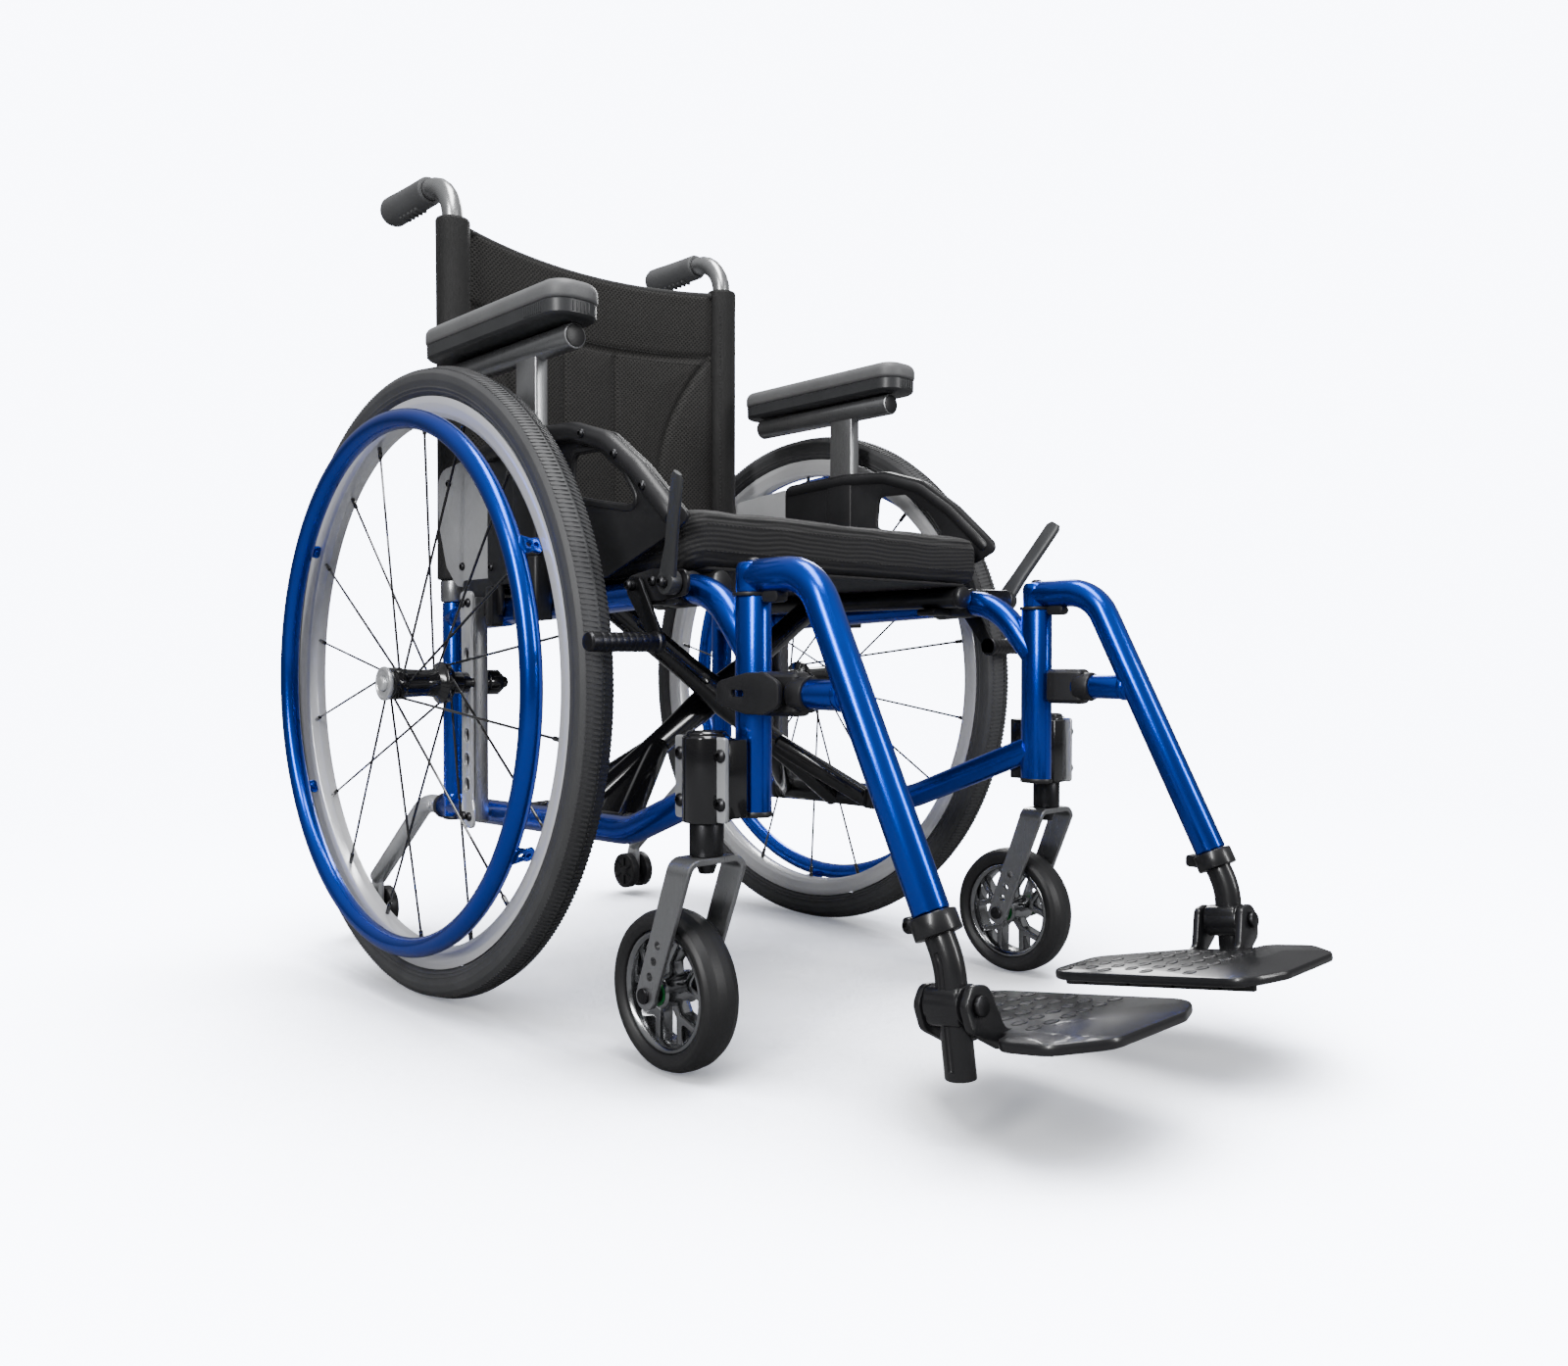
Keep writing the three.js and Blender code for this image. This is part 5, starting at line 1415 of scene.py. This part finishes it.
pair("footplate", mesh_of(on_plate(sole + under)), "footplate_*", BLACK, ["footplate_*"])
oval = [turned([(0, 0), (7.4, 0), (7.2, 0.7), (5.6, 0.9), (5.0, 0.5), (0, 0.5)], axis="z", sides=22,
               soft=0.2)]
oval = [moved(shape, Matrix.Rotation(math.radians(-9), 4,
                                     "X") @ Matrix.Diagonal((1, 0.66, 1, 1))) for shape in oval]
dimples = [tip @ Vector((-38 - 20 * i - 10 * (j % 2), 78 - 19 * j,
                         TOP - 0.2)) for j in range(7) for i in range(6)
           if -38 - 20 * i - 10 * (j % 2) > -146 and (j > 2 or i > 2 - j)]
pair("footplate_ovals", on_points(oval, dimples, PLASTIC), "footplate_*", PLASTIC)
hinge_heads = [disc((0, side * 25.2, 0), 7, 4, "y", 1.2, 30) for side in (-1, 1)]
pair("hinge_bolts", mesh_of(on_plate(hinge_heads)), "footrest_*", STEEL)

# %% [markdown]
# ## Cross brace
# Two black arms cross on one bolt. Each turns on a tube beside one lower frame tube and carries the
# seat rail on the other side, so that the chair folds like scissors.

# %% Brace arms
BRACE_Y, HALF_FOOT = -130, 73
MID_Z = (FOOT_Z + RAIL_Z) / 2


def brace_arm(y, face):
    """The arm whose foot is on the right and whose rail is on the left."""
    foot, rail = Vector((-FOOT_X, y, FOOT_Z)), Vector((FOOT_X, y, RAIL_Z))
    strut = foot.lerp(rail, 0.3)
    swell = lambda t: 0.86 + 0.24 * math.exp(-((t - 0.5) / 0.1) ** 2) + 0.1 * math.exp(-(t / 0.1) ** 2)
    bar = [tube([foot.lerp(rail, k / 40) for k in range(41)], 12.4, 0, 40, wide=1.25, soft=2, swell=swell)]
    legs = [tube([(-FOOT_X, BRACE_Y + side * (HALF_FOOT - 9), FOOT_Z), strut + Vector((0, side * 2, 0))], 9,
                 0, 32, wide=1.15,
                 swell=lambda t: 1.1 - 0.25 * math.sin(math.pi * t)) for side in (-1, 1)]
    web = [(-FOOT_X, BRACE_Y - HALF_FOOT + 12), (-FOOT_X, BRACE_Y + HALF_FOOT - 12), (strut.x, y + 4),
           (strut.x, y - 4)]
    slope = (RAIL_Z - FOOT_Z) / (2 * FOOT_X)
    sheet = plate(soften(web, 3), (-3.4, 3.4), "z", 1.2)
    legs.append(([Vector((v.x, v.y, FOOT_Z + (v.x + FOOT_X) * slope + v.z)) for v in sheet[0]], sheet[1]))
    cuts = []
    for low_share, high_share in ((0.12, 0.4), (0.6, 0.88)):
        line = [foot.lerp(rail, low_share + (high_share - low_share) * k / 8) + Vector((0, face * 15.5,
                                                                                        0)) for k in range(9)]
        cuts.append(tube(line, 6.2, 0, 20, wide=1.35, soft=4))
    solid = drilled(mesh_of(bar), cuts)
    rest = mesh_of(legs)
    joined = bmesh.new()
    joined.from_mesh(solid)
    joined.from_mesh(rest)
    joined.to_mesh(solid)
    joined.free()
    return solid


def rail_parts():
    ends = (POST_Y + 70, CANE_Y - 27)
    rail = tube([(FOOT_X, ends[0], RAIL_Z), (FOOT_X, ends[1], RAIL_Z)], 10.5, 0, 40, soft=1)
    knobs = [tube([(FOOT_X, y - 4, RAIL_Z), (FOOT_X, y + 4, RAIL_Z)], 11.6, 0, 36,
                  soft=2.4) for y in (ends[0] + 3, ends[1] - 3)]
    return [rail] + knobs


def foot_parts(y):
    barrel = [(5.6, -HALF_FOOT), (10.5, -HALF_FOOT), (10.5, HALF_FOOT), (5.6, HALF_FOOT)]
    bands = [turned([(10.2, s - 3), (11.8, s - 3), (11.8, s + 3), (10.2, s + 3)],
                    (-FOOT_X, BRACE_Y, FOOT_Z), "y", 40, 0.8, ring=True)
             for s in (-HALF_FOOT + 4, HALF_FOOT - 4)]
    return [turned(barrel, (-FOOT_X, BRACE_Y, FOOT_Z), "y", 40, 0.8, ring=True)] + bands


arm_a = brace_arm(-113, 1)
piece("brace_arm_a", arm_a, "cross_arm_a", GLOSS, ["cross_arm_a"])
piece("seat_rails_a", mesh_of(rail_parts() + foot_parts(-113)), "cross_arm_a", BLACK)
piece("brace_bolt",
      mesh_of([disc((0, -130, MID_Z), 5, 72, "y"), disc((0, -168, MID_Z), 8.5, 6, "y", 1.4, 30),
               disc((0, -97.5, MID_Z), 8.5, 5, "y", 1.2, 30)]),
      "cross_arm_a", STEEL)
piece("brace_arm_b", mirrored(brace_arm(-147, -1)), "cross_arm_b", GLOSS, ["cross_arm_b"])
piece("seat_rails_b", mirrored(mesh_of(rail_parts() + foot_parts(-147))), "cross_arm_b", BLACK)

# %% Anti-tippers
TIP_Y, TIP_Z = 275, 33
tipper = [tube([(FRAME_X, CANE_Y + 23.6, LOWER_Z), (FRAME_X, CANE_Y + 67, LOWER_Z),
                (FRAME_X, TIP_Y - 3, TIP_Z + 36)], 10, 50, 40, soft=1),
          plate(soften([(TIP_Y - 10, TIP_Z - 9), (TIP_Y + 10, TIP_Z - 9), (TIP_Y + 10, TIP_Z + 20),
                        (TIP_Y + 5, TIP_Z + 36), (TIP_Y - 12, TIP_Z + 38)], 7, 4),
                (FRAME_X - 4, FRAME_X + 4), "x", 1.2)]
pair("tipper_arm", mesh_of(tipper), "*_frame", SILVER, ["tipper_arm_*"])
snap = [turned([(0, 0), (3.4, 0), (3.4, 2.2), (2.4, 3.2), (0, 3.4)], (FRAME_X + 9.6, CANE_Y + 40, LOWER_Z),
               "x", 20, 0.5)]
pair("tipper_button", mesh_of(snap), "*_frame", BRIGHT)
TIPPER = (FRAME_X, TIP_Y, TIP_Z)
rollers = []
for side in (-1, 1):
    rollers.append(turned([(0, side * 6), (24, side * 6), (24, side * 16.4), (19.5, side * 17),
                           (18.5, side * 15.2), (7, side * 15.2), (6, side * 17), (0, side * 17)],
                          TIPPER, "x", 56, 0.8))
rollers.append(turned([(0, -6.2), (2.9, -6.2), (2.9, 6.2), (0, 6.2)], TIPPER, "x", 18))
pair("tipper_wheel", mesh_of(rollers), "tipper_wheel_*", PLASTIC, ["tipper_wheel_*"])
webs = [block((side * 15.9 - 0.9, side * 15.9 + 0.9), (-1.5, 1.5), (6, 18.8), 0.6, 0.3) for side in (-1, 1)]
pair("tipper_webs", round_axle(webs, 6, TIPPER, STEEL), "tipper_wheel_*", STEEL)

# %% [markdown]
# ## Studio
# There is no horizon: a white floor runs into a white backdrop. Camera rays see a bright world,
# while the chair is lit by a dimmer one and four softboxes, which keeps the lacquer deep.
# The floor's glow carries a painted shadow, darkened by ambient occlusion where the chair is close to it, and
# fades into the backdrop further out.

# %% World, floor and softboxes


def white_world(seen, lit):
    world = bpy.data.worlds.new("studio")
    world.use_nodes = True
    sky = Graph(world.node_tree)
    sky.tree.nodes.clear()
    x, y, z = sky.split(sky.add("ShaderNodeTexCoord", out="Generated"))
    glow = z.step(-0.1, 0.9) * lit[1] + lit[0]
    backdrop = sky.add("ShaderNodeBackground", None, {"Color": (0.885, 0.93, 1.08, 1), "Strength": seen})
    light = sky.add("ShaderNodeBackground", None, {"Color": (0.97, 0.98, 1.0, 1), "Strength": glow})
    camera = sky.add("ShaderNodeLightPath", out="Is Camera Ray")
    both = sky.add("ShaderNodeMixShader", None, {0: camera, 1: light, 2: backdrop})
    sky.add("ShaderNodeOutputWorld", None, {"Surface": both})
    bpy.context.scene.world = world


def white_floor(seen, reach=40):
    flat = bpy.data.meshes.new("floor")
    flat.from_pydata([(-reach, -reach, 0), (reach, -reach, 0), (reach, reach, 0), (-reach, reach, 0)], [],
                     [(0, 1, 2, 3)])
    shade = Finish("white floor")
    x, y, z = shade.split(shade.place)
    far = ((x * x + y * y) ** 0.5 + shade.noise(1.5, 2) * 0.1).step(0.9, 2.6)
    # Painted shadow: ambient occlusion dims the floor's glow where the chair is close, standing in for the
    # chair's cast shadow.
    painted_shadow_ao = shade.add("ShaderNodeAmbientOcclusion", {"samples": 24}, {"Distance": 0.8}, out="AO")
    glow = (painted_shadow_ao.step(0.26, 0.97) ** 2.2) * (seen * 0.92) + seen * 0.02
    bright = shade.add("ShaderNodeEmission", None, {"Color": (0.885, 0.93, 1.08, 1), "Strength": glow})
    matte = shade.add("ShaderNodeBsdfDiffuse", None, {"Color": (0.86, 0.87, 0.88, 1)})
    seen_floor = shade.add("ShaderNodeAddShader", None, {0: bright, 1: matte})
    clear = shade.add("ShaderNodeBsdfTransparent")
    faded = shade.add("ShaderNodeMixShader", None, {0: far, 1: seen_floor, 2: clear})
    bounce = shade.add("ShaderNodeBsdfDiffuse", None, {"Color": (0.20, 0.202, 0.207, 1)})
    camera = shade.add("ShaderNodeLightPath", out="Is Camera Ray")
    both = shade.add("ShaderNodeMixShader", None, {0: camera, 1: bounce, 2: faded})
    shade.add("ShaderNodeOutputMaterial", None, {"Surface": both})
    flat.materials.append(shade.material)
    ground = bpy.data.objects.new("floor", flat)
    bpy.context.scene.collection.objects.link(ground)


def softbox(name, place, aim, wide, tall, power):
    lamp = bpy.data.lights.new(name, "AREA")
    lamp.shape, lamp.size, lamp.size_y, lamp.energy = "RECTANGLE", wide, tall, power
    stand = bpy.data.objects.new(name, lamp)
    stand.location = place
    stand.rotation_euler = (Vector(aim) - Vector(place)).to_track_quat("-Z", "Y").to_euler()
    bpy.context.scene.collection.objects.link(stand)


white_world(10.5, (0.12, 0.36))
white_floor(10.5)
softbox("overhead", (-0.2, -0.3, 2.6), (0, 0, 0.3), 0.7, 2.2, 62)
softbox("camera side", (-2.6, -1.0, 1.7), (0, -0.1, 0.4), 0.4, 1.8, 70)
softbox("front", (0.9, -3.0, 1.5), (0, -0.2, 0.4), 0.35, 1.6, 40)
softbox("far side", (2.3, 1.6, 1.7), (0, 0, 0.5), 0.5, 1.7, 40)
print("softboxes", len(bpy.data.lights))

# %% Camera
eye = in_frame((-824.8, -1107.5, 327.9))
turn, dip = math.radians(43.35), math.radians(1.10)
look = Vector((math.sin(turn) * math.cos(dip), math.cos(turn) * math.cos(dip), -math.sin(dip)))
lens = bpy.data.cameras.new("camera")
lens.lens = 27.82
lens.sensor_width = 36
lens.clip_end = 60
stand = bpy.data.objects.new("camera", lens)
stand.location = eye
stand.rotation_euler = look.to_track_quat("-Z", "Y").to_euler()
bpy.context.scene.collection.objects.link(stand)
bpy.context.scene.camera = stand
